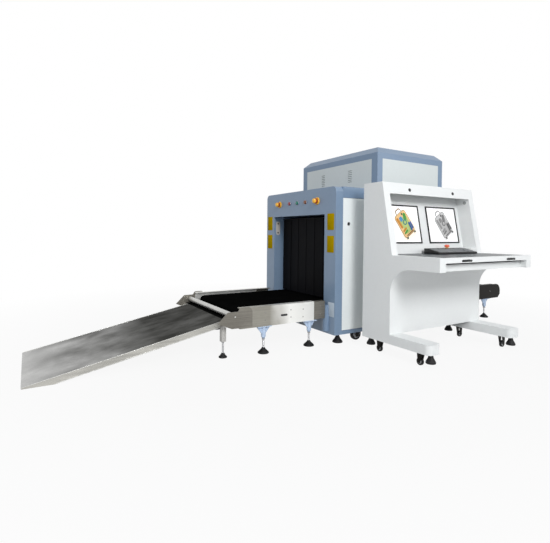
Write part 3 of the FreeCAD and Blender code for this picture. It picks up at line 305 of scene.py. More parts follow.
yellow_line = 0.486
pale_line = 0.503
yellow_plates = bmesh.new()
pale_plates = bmesh.new()
for end in (-1, 1):
    face_x = middle_x + end * portal_reach
    for side in (-1, 1):
        for height, tall in ((1.000, 0.136), (0.817, 0.138)):
            place = (face_x, middle_y + side * yellow_line, height)
            spot = look_along(place, (end, 0, 0))
            rounded_plate(yellow_plates, 0.088, tall, 0.006, 0.0012, spot)
    spot = look_along((face_x, middle_y - pale_line, 0.284), (end, 0, 0))
    rounded_plate(pale_plates, 0.078, 0.117, 0.003, 0.0008, spot)
finished("yellow_plates", yellow_plates, plate_yellow, "root", "stop_orange")
finished("pale_plates", pale_plates, plate_pale, "root", "frame_blue")


# Service covers and generator housing: light grey powder-coated sheets that lift off, in a
# pale blue welded frame with a chamfered roof. Each cover has a round cam lock, and the
# housing's end panels have two groups of louvres.
panel_paint = finish("panel_paint", coat, Colour=(0.62, 0.665, 0.665, 1), Mottle=0.06,
                     Roughness=0.38, Peel=0.00003)
# The covers take a paler copy of the panels' grey: painted light that makes up for the shade the
# console casts on the near cover.
cover_paint_painted_light = finish("cover_paint_painted_light", coat, Colour=(0.83, 0.87, 0.87, 1), Mottle=0.06,
                     Roughness=0.38, Peel=0.00003)
dress(panel_paint, "housing_panels")
dress(cover_paint_painted_light, "side_panels")
dress(frame_paint, "housing_frame")


def new_tree(name, inputs):
    """Empty geometry tree with named inputs; returns it with its two ends."""
    tree = bpy.data.node_groups.new(name, "GeometryNodeTree")
    kinds = {"size": "NodeSocketFloat", "count": "NodeSocketInt", "material": "NodeSocketMaterial",
             "vector": "NodeSocketVector", "geometry": "NodeSocketGeometry"}
    for label, kind in [("Geometry", "geometry")] + inputs + [("Material", "material")]:
        tree.interface.new_socket(label, in_out="INPUT", socket_type=kinds[kind])
    tree.interface.new_socket("Geometry", in_out="OUTPUT", socket_type=kinds["geometry"])
    return tree, tree.nodes.new("NodeGroupInput"), tree.nodes.new("NodeGroupOutput")


def end_tree(tree, given, result, placed):
    """Real meshes in the given material in place of the instances."""
    real = add(tree, "GeometryNodeRealizeInstances", Geometry=placed.outputs[0])
    dressed = add(tree, "GeometryNodeSetMaterial", Geometry=real.outputs[0],
                  Material=given.outputs["Material"])
    tree.links.new(dressed.outputs[0], result.inputs[0])


def set_on_points(tree, given, result, pattern):
    """The pattern on every point, turned to its aim and stretched by its span."""
    points = add(tree, "GeometryNodeMeshToPoints", Mesh=given.outputs["Geometry"])
    aim = add(tree, "GeometryNodeInputNamedAttribute", {"data_type": "FLOAT_VECTOR"}, Name="aim")
    span = add(tree, "GeometryNodeInputNamedAttribute", {"data_type": "FLOAT_VECTOR"}, Name="span")
    turn = add(tree, "FunctionNodeAlignRotationToVector", {"axis": "Z"},
               Vector=aim.outputs["Attribute"])
    placed = add(tree, "GeometryNodeInstanceOnPoints", Points=points.outputs[0],
                 Instance=pattern, Rotation=turn.outputs[0], Scale=span.outputs["Attribute"])
    end_tree(tree, given, result, placed)


def grown(name, tree, spots, sizes, material, body, slot, *replaced, smooth=32):
    """Plain mesh that a tree grows on spots of (place, aim, span)."""
    seeds = bpy.data.meshes.new(name + "_spots")
    seeds.from_pydata([spot[0] for spot in spots], [], [])
    for label, index in (("aim", 1), ("span", 2)):
        layer = seeds.attributes.new(label, "FLOAT_VECTOR", "POINT")
        for i, spot in enumerate(spots):
            layer.data[i].vector = spot[index]
    source = bpy.data.objects.new(name + "_spots", seeds)
    bpy.context.scene.collection.objects.link(source)
    modifier = source.modifiers.new("grow", "NODES")
    modifier.node_group = tree
    for item in tree.interface.items_tree:
        if item.in_out == "INPUT" and item.name in sizes:
            modifier[item.identifier] = sizes[item.name]
        elif item.in_out == "INPUT" and item.name == "Material":
            modifier[item.identifier] = material
    evaluated = source.evaluated_get(bpy.context.evaluated_depsgraph_get())
    shape = bpy.data.meshes.new_from_object(evaluated)
    shape.name = name
    bpy.data.objects.remove(source)
    for label in ("aim", "span"):
        if label in shape.attributes:
            shape.attributes.remove(shape.attributes[label])
    return finished(name, shape, material, body, slot, *replaced, smooth=smooth)


def lathed(mesh, profile, steps, frame_at):
    """Adds a surface turned about a frame's Z from (radius, height) pairs, bottom up.

    A profile that ends where it starts makes a closed ring."""
    rings = []
    closed = profile[0] == profile[-1]
    for radius, height in profile[:-1] if closed else profile:
        if radius == 0:
            rings.append([mesh.verts.new(frame_at @ Vector((0, 0, height)))])
            continue
        ring = []
        for step in range(steps):
            angle = 2 * math.pi * step / steps
            spot = Vector((radius * math.cos(angle), radius * math.sin(angle), height))
            ring.append(mesh.verts.new(frame_at @ spot))
        rings.append(ring)
    if closed:
        rings.append(rings[0])
    for low, high in zip(rings, rings[1:]):
        for step in range(steps):
            ahead = (step + 1) % steps
            if len(low) == 1:
                mesh.faces.new((low[0], high[ahead], high[step]))
            elif len(high) == 1:
                mesh.faces.new((low[step], low[ahead], high[0]))
            else:
                mesh.faces.new((low[step], low[ahead], high[ahead], high[step]))


def softened_box(mesh, low, high, radius, frame_at=Matrix.Identity(4), segments=2):
    """Adds a box with rounded edges between two corners of a frame."""
    made = bmesh.ops.create_cube(mesh, size=1)["verts"]
    for vert in made:
        spot = [low[i] + (vert.co[i] + 0.5) * (high[i] - low[i]) for i in range(3)]
        vert.co = frame_at @ Vector(spot)
    edges = list({edge for vert in made for edge in vert.link_edges})
    bmesh.ops.bevel(mesh, geom=edges, offset=radius, segments=segments, profile=0.5,
                    affect="EDGES", clamp_overlap=True)


whole = (1.0, 1.0, 1.0)
screws, given, result = new_tree("screw_heads", [("Head Radius", "size"), ("Head Height", "size"),
                                                 ("Socket Radius", "size")])
crown = worked(screws, "MULTIPLY", given.outputs["Head Radius"], 0.72)
dome = add(screws, "GeometryNodeMeshCone", Vertices=14, Radius_Top=crown,
           Radius_Bottom=given.outputs["Head Radius"], Depth=given.outputs["Head Height"])
hexagon = add(screws, "GeometryNodeMeshCylinder", Vertices=6,
              Radius=given.outputs["Socket Radius"], Depth=given.outputs["Head Height"])
lift = add(screws, "ShaderNodeCombineXYZ", Z=given.outputs["Head Height"])
raised = add(screws, "GeometryNodeTransform", Geometry=hexagon.outputs[0],
             Translation=lift.outputs[0])
head = add(screws, "GeometryNodeMeshBoolean", {"operation": "DIFFERENCE"},
           at0=dome.outputs[0], at1=raised.outputs[0])
set_on_points(screws, given, result, head.outputs[0])

lock_metal = finish("lock_metal", coat, metallic=0.9, Colour=(0.55, 0.55, 0.56, 1), Mottle=0.2,
                    Roughness=0.22, Peel=0.00002)
lock_black = finish("lock_black", coat, Colour=(0.012, 0.012, 0.014, 1), Mottle=0.2,
                    Roughness=0.35, Peel=0.00002)
lock_rings = bmesh.new()
lock_barrels = bmesh.new()
cover_lock_reach = 0.739
for side in (-1, 1):
    for end in (-1, 1):
        place = (middle_x + end * cover_lock_reach, middle_y + side * 0.548, 0.984)
        spot = look_along(place, (0, side, 0))
        lathed(lock_rings, [(0.0125, -0.002), (0.0165, -0.002), (0.0165, 0.002),
                            (0.0150, 0.0042), (0.0125, 0.0034), (0.0125, -0.002)], 28, spot)
        lathed(lock_barrels, [(0, -0.002), (0.0124, -0.002), (0.0124, 0.0016), (0, 0.0016)],
               24, spot)
        softened_box(lock_barrels, (-0.0014, -0.0085, 0.001), (0.0014, 0.0085, 0.0028),
                     0.0004, spot)
finished("cover_lock_rings", lock_rings, lock_metal, "root", "caster_steel")
finished("cover_lock_barrels", lock_barrels, lock_black, "root", "caster_steel")

side_panel_reach, side_screw_gap = 0.550, 0.341
end_panel_reach, end_screw_gap = 0.425, 0.457
housing_screws = []
for step in (-1, 0, 1):
    for z in (1.312, 1.544):
        for way in (-1, 1):
            place = (middle_x + step * side_screw_gap, middle_y + way * side_panel_reach, z)
            housing_screws.append((place, (0, way, 0), whole))
            place = (middle_x + way * end_panel_reach, middle_y + step * end_screw_gap, z)
            housing_screws.append((place, (way, 0, 0), whole))
grown("housing_screws", screws, housing_screws,
      {"Head Radius": 0.0042, "Head Height": 0.0016, "Socket Radius": 0.0018},
      panel_paint, "root", "panel_grey")


rods, given, result = new_tree("louvre_rods", [("Rod Radius", "size"), ("Rod Length", "size")])
rod = add(rods, "GeometryNodeMeshCone", Vertices=8, Radius_Top=given.outputs["Rod Radius"],
          Radius_Bottom=given.outputs["Rod Radius"], Depth=given.outputs["Rod Length"])
half_length = worked(rods, "MULTIPLY", given.outputs["Rod Length"], -0.5)
back_off = add(rods, "ShaderNodeCombineXYZ", Z=half_length)
centred = add(rods, "GeometryNodeTransform", Geometry=rod.outputs[0],
              Translation=back_off.outputs[0])
set_on_points(rods, given, result, centred.outputs[0])
louvre_rows = 7
louvre_pitch = 0.017
louvre_low = 1.384
louvre_group_gap = 0.200
hood_reach, hood_rise = 0.4256, 0.0040
shadow_rod_reach = 0.4225
hoods = []
shadow_rods = []
for end in (-1, 1):
    for group in (-1, 1):
        y = middle_y + group * louvre_group_gap
        for row in range(louvre_rows):
            z = louvre_low + louvre_pitch * row
            hoods.append(((middle_x + end * hood_reach, y, z + hood_rise), (0, 1, 0), whole))
            shadow_rods.append(((middle_x + end * shadow_rod_reach, y, z), (0, 1, 0), whole))
grown("louvre_hoods", rods, hoods, {"Rod Radius": 0.0024, "Rod Length": 0.054},
      panel_paint, "root", "panel_grey", smooth=60)
# Painted shade: black rods just behind the slots, under the hoods, stand in for the shade inside
# the louvres.
grown("louvre_shadow_rods", rods, shadow_rods, {"Rod Radius": 0.0030, "Rod Length": 0.0515},
      lock_black, "root", "dark_steel", smooth=60)


# Conveyor: a black rubber-faced belt, one loop over two turned steel drums, drawn over a
# folded steel bed. The bed, the exit rails and the casters' forks are painted near black.
def blended(tree, share, first, second):
    """Colour between two, by a share."""
    return add(tree, "ShaderNodeMix", {"data_type": "RGBA"}, at0=share, at6=first,
               at7=second).outputs[2]


rubber, rubber_in, rubber_out = new_group(
    "rubber_skin",
    [("Colour", "colour"), ("Dust", "colour"), ("Grain", "value"), ("Roughness", "value")],
    [("Color", "colour"), ("Roughness", "value"), ("Normal", "vector")],
)
patch = noise(rubber, 9.0)
soft = ranged(rubber, patch, 0.35, 0.75, 0.0, 0.35)
dusty = blended(rubber, soft, rubber_in.outputs["Colour"], rubber_in.outputs["Dust"])
pores = noise(rubber, rubber_in.outputs["Grain"], 2.0)
relief = add(rubber, "ShaderNodeBump", Height=pores, Strength=0.25, Distance=0.0006)
rub = worked(rubber, "MULTIPLY_ADD", patch, 0.15, rubber_in.outputs["Roughness"])
give(rubber, rubber_out, Color=dusty, Roughness=rub, Normal=relief.outputs[0])
belt_rubber = finish("belt_rubber", rubber, specular=0.0, Colour=(0.003, 0.003, 0.003, 1),
                     Dust=(0.007, 0.007, 0.007, 1), Grain=700.0, Roughness=0.60)
dark_steel = finish("dark_steel", coat, specular=0.2, edge=0.3,
                    Colour=(0.008, 0.007, 0.006, 1), Mottle=0.3, Roughness=0.42, Peel=0.00005)
dress(belt_rubber, "conveyor_belt")
dress(dark_steel, "belt_drums", "slider_bed", "exit_rails", "body_caster_forks")


# Curtains: overlapping strips of lead rubber, black and matt, that hang from a steel pin
# inside each mouth. Neighbours lap over each other and each hangs a little askew.
strips, given, result = new_tree("curtain_strips", [("Strip", "vector"), ("Seed", "count")])
slab = add(strips, "GeometryNodeMeshCube", Size=given.outputs["Strip"], Vertices_X=2,
           Vertices_Y=4, Vertices_Z=14)
spot = add(strips, "GeometryNodeInputPosition")
parts = add(strips, "ShaderNodeSeparateXYZ", Vector=spot.outputs[0])
wave = worked(strips, "MULTIPLY", parts.outputs["Z"], 9.0)
sway = worked(strips, "MULTIPLY", worked(strips, "SINE", wave), 0.0012)
shift = add(strips, "ShaderNodeCombineXYZ", X=sway)
bent = add(strips, "GeometryNodeSetPosition", Geometry=slab.outputs[0], Offset=shift.outputs[0])
points = add(strips, "GeometryNodeMeshToPoints", Mesh=given.outputs["Geometry"])
askew = add(strips, "FunctionNodeRandomValue", {"data_type": "FLOAT_VECTOR"},
            at0=(-0.0015, 0.0, -0.035), at1=(0.0015, 0.0, 0.035), Seed=given.outputs["Seed"])
placed = add(strips, "GeometryNodeInstanceOnPoints", Points=points.outputs[0],
             Instance=bent.outputs[0], Rotation=askew.outputs[0])
end_tree(strips, given, result, placed)
lead_rubber = finish("lead_rubber", rubber, specular=0.05, Colour=(0.003, 0.003, 0.004, 1),
                     Dust=(0.005, 0.006, 0.008, 1), Grain=300.0, Roughness=0.50)
pin_steel = finish("pin_steel", coat, specular=0.1, Colour=(0.006, 0.006, 0.006, 1), Mottle=0.2,
                   Roughness=0.45, Peel=0.00002)
strip_count = 12
strip_pitch = 0.0640
strip_width = 0.074
strip_thickness = 0.0032
lap = 0.0021
curtain_low = 0.343
curtain_high = 1.046
for end, sign, seed in (("entrance", -1, 3), ("exit", 1, 8)):
    node_name = f"{end}_curtain"
    low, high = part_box(node_name)
    curtain_x = (low[0] + high[0]) / 2
    spots = []
    for i in range(strip_count):
        y = middle_y + (i - (strip_count - 1) / 2) * strip_pitch
        layer = lap if i % 2 else -lap
        spots.append(((curtain_x + layer, y, (curtain_low + curtain_high) / 2), (0, 0, 1), whole))
    grown(f"{end}_curtain_strips", strips, spots,
          {"Strip": (strip_thickness, strip_width, curtain_high - curtain_low), "Seed": seed},
          lead_rubber, node_name, "lead_rubber", node_name)
    pin = bmesh.new()
    spot = look_along((curtain_x, low[1], high[2] - 0.005), (0, 1, 0))
    length = high[1] - low[1]
    lathed(pin, [(0, 0), (0.0035, 0), (0.0045, 0.001), (0.0045, length - 0.001),
                 (0.0035, length), (0, length)], 20, spot)
    finished(f"{end}_curtain_pin", pin, pin_steel, node_name, "caster_steel")


# Rails and ramp: brushed stainless sheet, bent at the edges and scuffed by cases, with cheeks
# that carry an idle roller. The rails are held by socket screws, and the ramp stands on two legs.
# Brushed sheet with a painted highlight: a lighter colour laid along an axis between a start and
# an end position, with a cloudy edge, standing in for reflected light.
brushed, brushed_in, brushed_out = new_group(
    "brushed_sheet",
    [("Colour", "colour"), ("Dull", "colour"), ("Gleam", "colour"), ("Gleam Axis", "vector"),
     ("Gleam Start", "value"), ("Gleam End", "value"), ("Stretch", "vector"),
     ("Roughness", "value"), ("Scuffs", "value")],
    [("Color", "colour"), ("Roughness", "value"), ("Normal", "vector")],
)
never = 100
brushed.interface.items_tree["Gleam Start"].default_value = never
brushed.interface.items_tree["Gleam End"].default_value = never + 1
place = add(brushed, "ShaderNodeTexCoord").outputs["Object"]
drawn = add(brushed, "ShaderNodeVectorMath", {"operation": "MULTIPLY"},
            at0=place, at1=brushed_in.outputs["Stretch"])
streak = noise(brushed, 1.0, 4.0, drawn.outputs[0])
stain = noise(brushed, 2.6, 4.0)
scuff = noise(brushed, 18.0, 5.0)
steel, dull_steel = brushed_in.outputs["Colour"], brushed_in.outputs["Dull"]
scuff_share = worked(brushed, "MULTIPLY", ranged(brushed, scuff, 0.5, 0.72),
                     brushed_in.outputs["Scuffs"])
half = worked(brushed, "MULTIPLY", worked(brushed, "ADD", stain, streak), 0.5)
base = blended(brushed, ranged(brushed, half, 0.38, 0.62), steel, dull_steel)
worn = blended(brushed, scuff_share, base, dull_steel)
# Painted highlight share, rising from the start to the end position along the axis.
along = add(brushed, "ShaderNodeVectorMath", {"operation": "DOT_PRODUCT"},
            at0=place, at1=brushed_in.outputs["Gleam Axis"])
risen = ranged(brushed, along.outputs["Value"], brushed_in.outputs["Gleam Start"],
               brushed_in.outputs["Gleam End"])
halfway = worked(brushed, "MULTIPLY", risen, worked(brushed, "SUBTRACT", 1.0, risen))
wobble = ranged(brushed, stain, 0.35, 0.65, -1.6, 1.6, clamped=False)
painted_highlight_share = worked(brushed, "MULTIPLY_ADD", halfway, wobble, risen, clamped=True)
painted_highlight_blend = blended(brushed, painted_highlight_share, worn, brushed_in.outputs["Gleam"])
rough_streak = worked(brushed, "MULTIPLY_ADD", streak, 0.22, brushed_in.outputs["Roughness"])
rough = worked(brushed, "MULTIPLY_ADD", scuff_share, 0.15, rough_streak)
grooves = add(brushed, "ShaderNodeBump", Height=streak, Strength=0.10, Distance=0.0002)
give(brushed, brushed_out, Color=painted_highlight_blend, Roughness=rough, Normal=grooves.outputs[0])
# The ramp's deck has a painted highlight that grows lighter towards its toe.
ramp_steel = finish("ramp_steel", brushed, metallic=1.0, edge=0.3,
                    Colour=(0.215, 0.215, 0.208, 1), Dull=(0.085, 0.085, 0.081, 1),
                    Gleam=(0.80, 0.80, 0.79, 1), Gleam_Axis=(-1, 0.05, 0), Gleam_Start=1.50,
                    Gleam_End=2.36, Stretch=(5, 12, 12), Roughness=0.30, Scuffs=0.5)
# The rails have a painted highlight over all but their entrance ends, reaching further out on the
# far rail.
rail_steel = finish("rail_steel", brushed, metallic=0.85, Colour=(0.37, 0.355, 0.31, 1),
                    Dull=(0.26, 0.25, 0.22, 1), Gleam=(0.93, 0.93, 0.90, 1),
                    Gleam_Axis=(1, 0.45, 0), Gleam_Start=-0.72, Gleam_End=-0.54,
                    Stretch=(2, 60, 420), Roughness=0.30, Scuffs=0.25)
joint_steel = finish("joint_steel", brushed, metallic=0.85, Colour=(0.29, 0.275, 0.24, 1),
                     Dull=(0.17, 0.16, 0.14, 1), Stretch=(2, 60, 420), Roughness=0.34,
                     Scuffs=0.25)
bright_steel = finish("bright_steel", brushed, metallic=0.8, Colour=(0.72, 0.72, 0.70, 1),
                      Dull=(0.50, 0.50, 0.48, 1), Stretch=(40, 300, 40), Roughness=0.28,
                      Scuffs=0.3)
# The ramp's stand has a painted highlight towards its near side.
leg_steel = finish("leg_steel", brushed, metallic=0.3, Colour=(0.62, 0.61, 0.59, 1),
                   Dull=(0.40, 0.39, 0.37, 1), Gleam=(0.97, 0.97, 0.96, 1),
                   Gleam_Axis=(0, -1, 0), Gleam_Start=0.004, Gleam_End=0.026,
                   Stretch=(60, 60, 4), Roughness=0.30, Scuffs=0.2)
plate_steel = finish("plate_steel", brushed, metallic=0.1, Colour=(0.66, 0.62, 0.57, 1),
                     Dull=(0.56, 0.52, 0.48, 1), Stretch=(300, 60, 8), Roughness=0.3,
                     Scuffs=0.1)
bolt_steel = finish("bolt_steel", brushed, metallic=0.9, Colour=(0.34, 0.33, 0.32, 1),
                    Dull=(0.22, 0.22, 0.21, 1), Stretch=(60, 60, 60), Roughness=0.3,
                    Scuffs=0.2)
dress(ramp_steel, "ramp_deck")
dress(rail_steel, "entrance_rails")
dress(joint_steel, "rail_joint_pieces", "ramp_cheeks")
dress(bright_steel, "ramp_roller")
dress(leg_steel, "ramp_stand")
dress(plate_steel, "light_barrier_plates")

rail_half = 0.470
joint_setback = 0.005
rail_holes = ((-0.513, 0.309), (-0.512, 0.253), (-0.397, 0.305), (-0.398, 0.244),
              (-0.900, 0.300), (-0.740, 0.308), (-0.740, 0.252), (2.114, 0.286),
              (1.860, 0.306), (1.860, 0.254))
joint_holes = ((-0.223, 0.250), (-0.223, 0.314), (1.685, 0.250), (1.685, 0.314))
rail_screws = []
for side in (-1, 1):
    for holes, half in ((rail_holes, rail_half), (joint_holes, rail_half - joint_setback)):
        for x, z in holes:
            rail_screws.append(((x, middle_y + side * half, z), (0, side, 0), whole))
grown("rail_screws", screws, rail_screws,
      {"Head Radius": 0.0048, "Head Height": 0.0018, "Socket Radius": 0.0022},
      bolt_steel, "root", "stainless")

slot_inserts = bmesh.new()
for side in (-1, 1):
    spot = look_along((-0.5745, middle_y + side * (rail_half - 0.0006), 0.275), (0, side, 0))
    rounded_plate(slot_inserts, 0.060, 0.016, 0.0078, 0.0012, spot)
finished("rail_slot_inserts", slot_inserts, lock_black, "root", "dark_steel")


# Ramp trim: a bright bead along each edge of the deck, a skin on each folded side of it, and a
# black strip under the roller, along the deck's head, that is painted shade filling the gap there.
ramp_toe = (-2.302, 0.006)
ramp_head = (-1.037, 0.267)
run = Vector((ramp_head[0] - ramp_toe[0], 0, ramp_head[1] - ramp_toe[1]))
deck_half = 0.404
skin = 0.0012
bend_x = -2.126
side_outline = ((-2.298, 0.0075), (-2.298, 0.0006), (bend_x, 0.0006), (-1.071, 0.2245),
                (-1.071, 0.2610))
ramp_trim = bmesh.new()
side_skins = bmesh.new()
for side in (-1, 1):
    start = Vector((ramp_toe[0], middle_y + side * (deck_half - 0.0030), ramp_toe[1]))
    spot = look_along(start, (-run.z, 0, run.x), run)
    softened_box(ramp_trim, (-0.0030, 0.006, -0.0006), (0.0030, run.length - 0.002, 0.0022),
                 0.0009, spot)
    low_start = Vector((bend_x, middle_y + side * (deck_half + skin), 0.0040))
    spot = look_along(low_start, (0, side, 0), run)
    softened_box(ramp_trim, (-0.0025, 0.004, -0.0006), (0.0025, 1.074, 0.0014), 0.0007, spot)
    levels = [middle_y + side * (deck_half + depth) for depth in (0, skin)]
    rings = [[side_skins.verts.new((x, y, z)) for x, z in side_outline] for y in levels]
    for i in range(len(side_outline)):
        j = (i + 1) % len(side_outline)
        side_skins.faces.new((rings[0][i], rings[0][j], rings[1][j], rings[1][i]))
    side_skins.faces.new(rings[0])
    side_skins.faces.new(rings[1])
side_steel = finish("side_steel", brushed, metallic=0.8, Colour=(0.55, 0.54, 0.50, 1),
                    Dull=(0.36, 0.355, 0.33, 1), Stretch=(3, 60, 60), Roughness=0.34, Scuffs=0.4)
finished("ramp_trim", ramp_trim, bright_steel, "root", "stainless")
finished("ramp_side_skins", side_skins, side_steel, "root", "stainless")
# Painted shade: a black strip closes the gap between the deck's head and the roller, standing in
# for the shadow there.
head_shade_strip = bmesh.new()
softened_box(head_shade_strip, (-1.036, -0.033, 0.2625), (-0.944, 0.903, 0.2685), 0.0015)
shade_strip_black = finish("shade_strip_black", rubber, specular=0.0, Colour=(0.004, 0.004, 0.004, 1),
                     Dust=(0.010, 0.010, 0.010, 1), Grain=700.0, Roughness=0.60)
finished("ramp_head_shade_strip", head_shade_strip, shade_strip_black, "root", "black_rubber")


# Leg brackets, rods and feet: cast brackets in pale blue, zinc-plated threaded rods with a
# lock nut, and black rubber bells. The rods screw into the brackets' tubes and the sills.
bracket_paint = finish("bracket_paint", coat, Colour=(0.50, 0.62, 0.80, 1), Mottle=0.10,
                       Roughness=0.28, Peel=0.00004)
dress(bracket_paint, "leg_brackets")
zinc = finish("zinc", brushed, metallic=0.9, Colour=(0.46, 0.46, 0.47, 1),
              Dull=(0.30, 0.30, 0.31, 1), Stretch=(40, 40, 300), Roughness=0.28, Scuffs=0.3)
black_rubber = finish("black_rubber", rubber, specular=0.25, Colour=(0.006, 0.006, 0.007, 1),
                      Dust=(0.020, 0.020, 0.020, 1), Grain=900.0, Roughness=0.50)
threads, given, result = new_tree("threaded_rods", [
    ("Rod Radius", "size"), ("Rod Length", "size"), ("Thread Pitch", "size"),
    ("Thread Count", "count"), ("Nut Radius", "size"), ("Nut Height", "size")])
core_radius = worked(threads, "MULTIPLY", given.outputs["Rod Radius"], 0.86)
core = add(threads, "GeometryNodeMeshCone", Vertices=12, Radius_Top=core_radius,
           Radius_Bottom=core_radius, Depth=given.outputs["Rod Length"])
ridge = add(threads, "GeometryNodeMeshCone", Vertices=12, Radius_Top=core_radius,
            Radius_Bottom=given.outputs["Rod Radius"], Depth=given.outputs["Thread Pitch"])
pitch_step = add(threads, "ShaderNodeCombineXYZ", Z=given.outputs["Thread Pitch"])
ridge_line = add(threads, "GeometryNodeMeshLine", Count=given.outputs["Thread Count"],
                 Offset=pitch_step.outputs[0])
ridge_spots = add(threads, "GeometryNodeMeshToPoints", Mesh=ridge_line.outputs[0])
ridges = add(threads, "GeometryNodeInstanceOnPoints", Points=ridge_spots.outputs[0],
             Instance=ridge.outputs[0])
nut = add(threads, "GeometryNodeMeshCone", Vertices=6, Radius_Top=given.outputs["Nut Radius"],
          Radius_Bottom=given.outputs["Nut Radius"], Depth=given.outputs["Nut Height"])
nut_low = worked(threads, "SUBTRACT", given.outputs["Rod Length"], given.outputs["Nut Height"])
nut_lift = add(threads, "ShaderNodeCombineXYZ", Z=nut_low)
nut_raised = add(threads, "GeometryNodeTransform", Geometry=nut.outputs[0],
                 Translation=nut_lift.outputs[0])
joined = add(threads, "GeometryNodeJoinGeometry")
for part in (core.outputs[0], ridges.outputs[0], nut_raised.outputs[0]):
    threads.links.new(part, joined.inputs[0])
set_on_points(threads, given, result, joined.outputs[0])


def bell_profile(radius, rim, neck, height):
    """Rubber bell from its flat sole to its neck."""
    return [(0, 0), (radius * 0.93, 0), (radius, 0.0022), (radius, rim * 0.7),
            (radius * 0.96, rim), (radius * 0.78, rim + (height - rim) * 0.22),
            (radius * 0.56, rim + (height - rim) * 0.48), (neck * 1.25, height * 0.80),
            (neck, height * 0.90), (neck, height - 0.002), (neck * 0.85, height), (0, height)]


thread_pitch = 0.003
wide_rod = {"Rod Radius": 0.0078, "Nut Radius": 0.0132, "Nut Height": 0.008}
slim_rod = {"Rod Radius": 0.0070, "Nut Radius": 0.0120, "Nut Height": 0.007}
feet = (
    ("leg_rods", (-0.744, -0.324, 1.786, 2.046), 0.447, (0.043, 0.010, 0.0125, 0.044), 36,
     wide_rod, 0.072, 24),
    ("sill_rods", (-0.052, 1.514), 0.478, (0.043, 0.012, 0.0150, 0.058), 36,
     wide_rod, 0.026, 8),
    ("ramp_rods", (-1.0545,), 0.402, (0.031, 0.008, 0.0115, 0.034), 32,
     slim_rod, 0.087, 29),
)
sunk = 0.004
bells = bmesh.new()
rod_spots = {}
for name, stations, line, bell, steps, _, _, _ in feet:
    rod_spots[name] = []
    for x in stations:
        for y in (middle_y - line, middle_y + line):
            lathed(bells, bell_profile(*bell), steps, Matrix.Translation((x, y, 0)))
            rod_spots[name].append(((x, y, bell[-1] - sunk), (0, 0, 1), whole))
finished("levelling_bells", bells, black_rubber, "root", "black_rubber", "levelling_feet")
for name, _, _, _, _, rod_sizes, length, turns in feet:
    sizes = {"Rod Length": length, "Thread Pitch": thread_pitch, "Thread Count": turns}
    grown(name, threads, rod_spots[name], rod_sizes | sizes, zinc, "root", "stainless")


# Body casters: black rubber tyres on grey cast hubs with a dished face and an axle bolt, in
# dark forks under the sills.
hub_grey = finish("hub_grey", coat, metallic=0.3, Colour=(0.42, 0.43, 0.44, 1), Mottle=0.2,
                  Roughness=0.36, Peel=0.00004)


def tyre_profile(radius, half, hub):
    """Closed section of a tyre with rounded shoulders, from one side of the hub round."""
    return [(hub, -half * 0.80), (radius * 0.90, -half), (radius * 0.965, -half * 0.86),
            (radius, -half * 0.45), (radius, half * 0.45), (radius * 0.965, half * 0.86),
            (radius * 0.90, half), (hub, half * 0.80), (hub, -half * 0.80)]


def hub_profile(hub, half, bore):
    """Closed section of a cast hub, dished on both faces."""
    return [(bore, -half * 0.92), (hub * 0.34, -half * 0.92), (hub * 0.42, -half * 0.50),
            (hub * 0.78, -half * 0.50), (hub * 0.90, -half * 0.84), (hub, -half * 0.80),
            (hub, half * 0.80), (hub * 0.90, half * 0.84), (hub * 0.78, half * 0.50),
            (hub * 0.42, half * 0.50), (hub * 0.34, half * 0.92), (bore, half * 0.92),
            (bore, -half * 0.92)]


def wheel(node_name, outward, hub_share, bore, steps):
    """Tyre and hub in place of a plain wheel, on that wheel's body."""
    low, high = (Vector(corner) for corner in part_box(node_name))
    middle = (low + high) / 2
    radius = (high.z - low.z) / 2
    half = abs((high - low).dot(Vector(outward))) / 2
    spot = look_along(middle, outward)
    tyre = bmesh.new()
    lathed(tyre, tyre_profile(radius, half, radius * hub_share), steps, spot)
    finished(f"{node_name}_tyre", tyre, black_rubber, node_name, "black_rubber", node_name)
    hub = bmesh.new()
    lathed(hub, hub_profile(radius * hub_share, half, bore), steps, spot)
    finished(f"{node_name}_hub", hub, hub_grey, node_name, "caster_steel")


for end in ("entrance", "exit"):
    for side in ("near", "far"):
        wheel(f"body_wheel_{end}_{side}", (0, -1, 0), hub_share=0.66, bore=0.0085, steps=48)


# Portal controls: emergency stops with a yellow collar and a domed head over a red skirt,
# three signal lamps in thin bright bezels, and steel light-barrier covers with two dark windows.
stop_yellow = finish("stop_yellow", rubber, coat_weight=0.4, Colour=(0.90, 0.46, 0.02, 1),
                     Dust=(0.92, 0.52, 0.04, 1), Grain=900.0, Roughness=0.24)
stop_red = finish("stop_red", rubber, coat_weight=0.4, Colour=(0.34, 0.018, 0.004, 1),
                  Dust=(0.40, 0.03, 0.006, 1), Grain=900.0, Roughness=0.25)
black_plastic = finish("black_plastic", rubber, specular=0.3, Colour=(0.006, 0.006, 0.007, 1),
                       Dust=(0.012, 0.012, 0.013, 1), Grain=1400.0, Roughness=0.34)
control_height = 1.180
stop_reach = 0.303
lamp_gap = 0.128
stop_lines = {"near": middle_y - stop_reach, "far": middle_y + stop_reach}
portal_ends = {"entrance": -1, "exit": 1}
collars = bmesh.new()
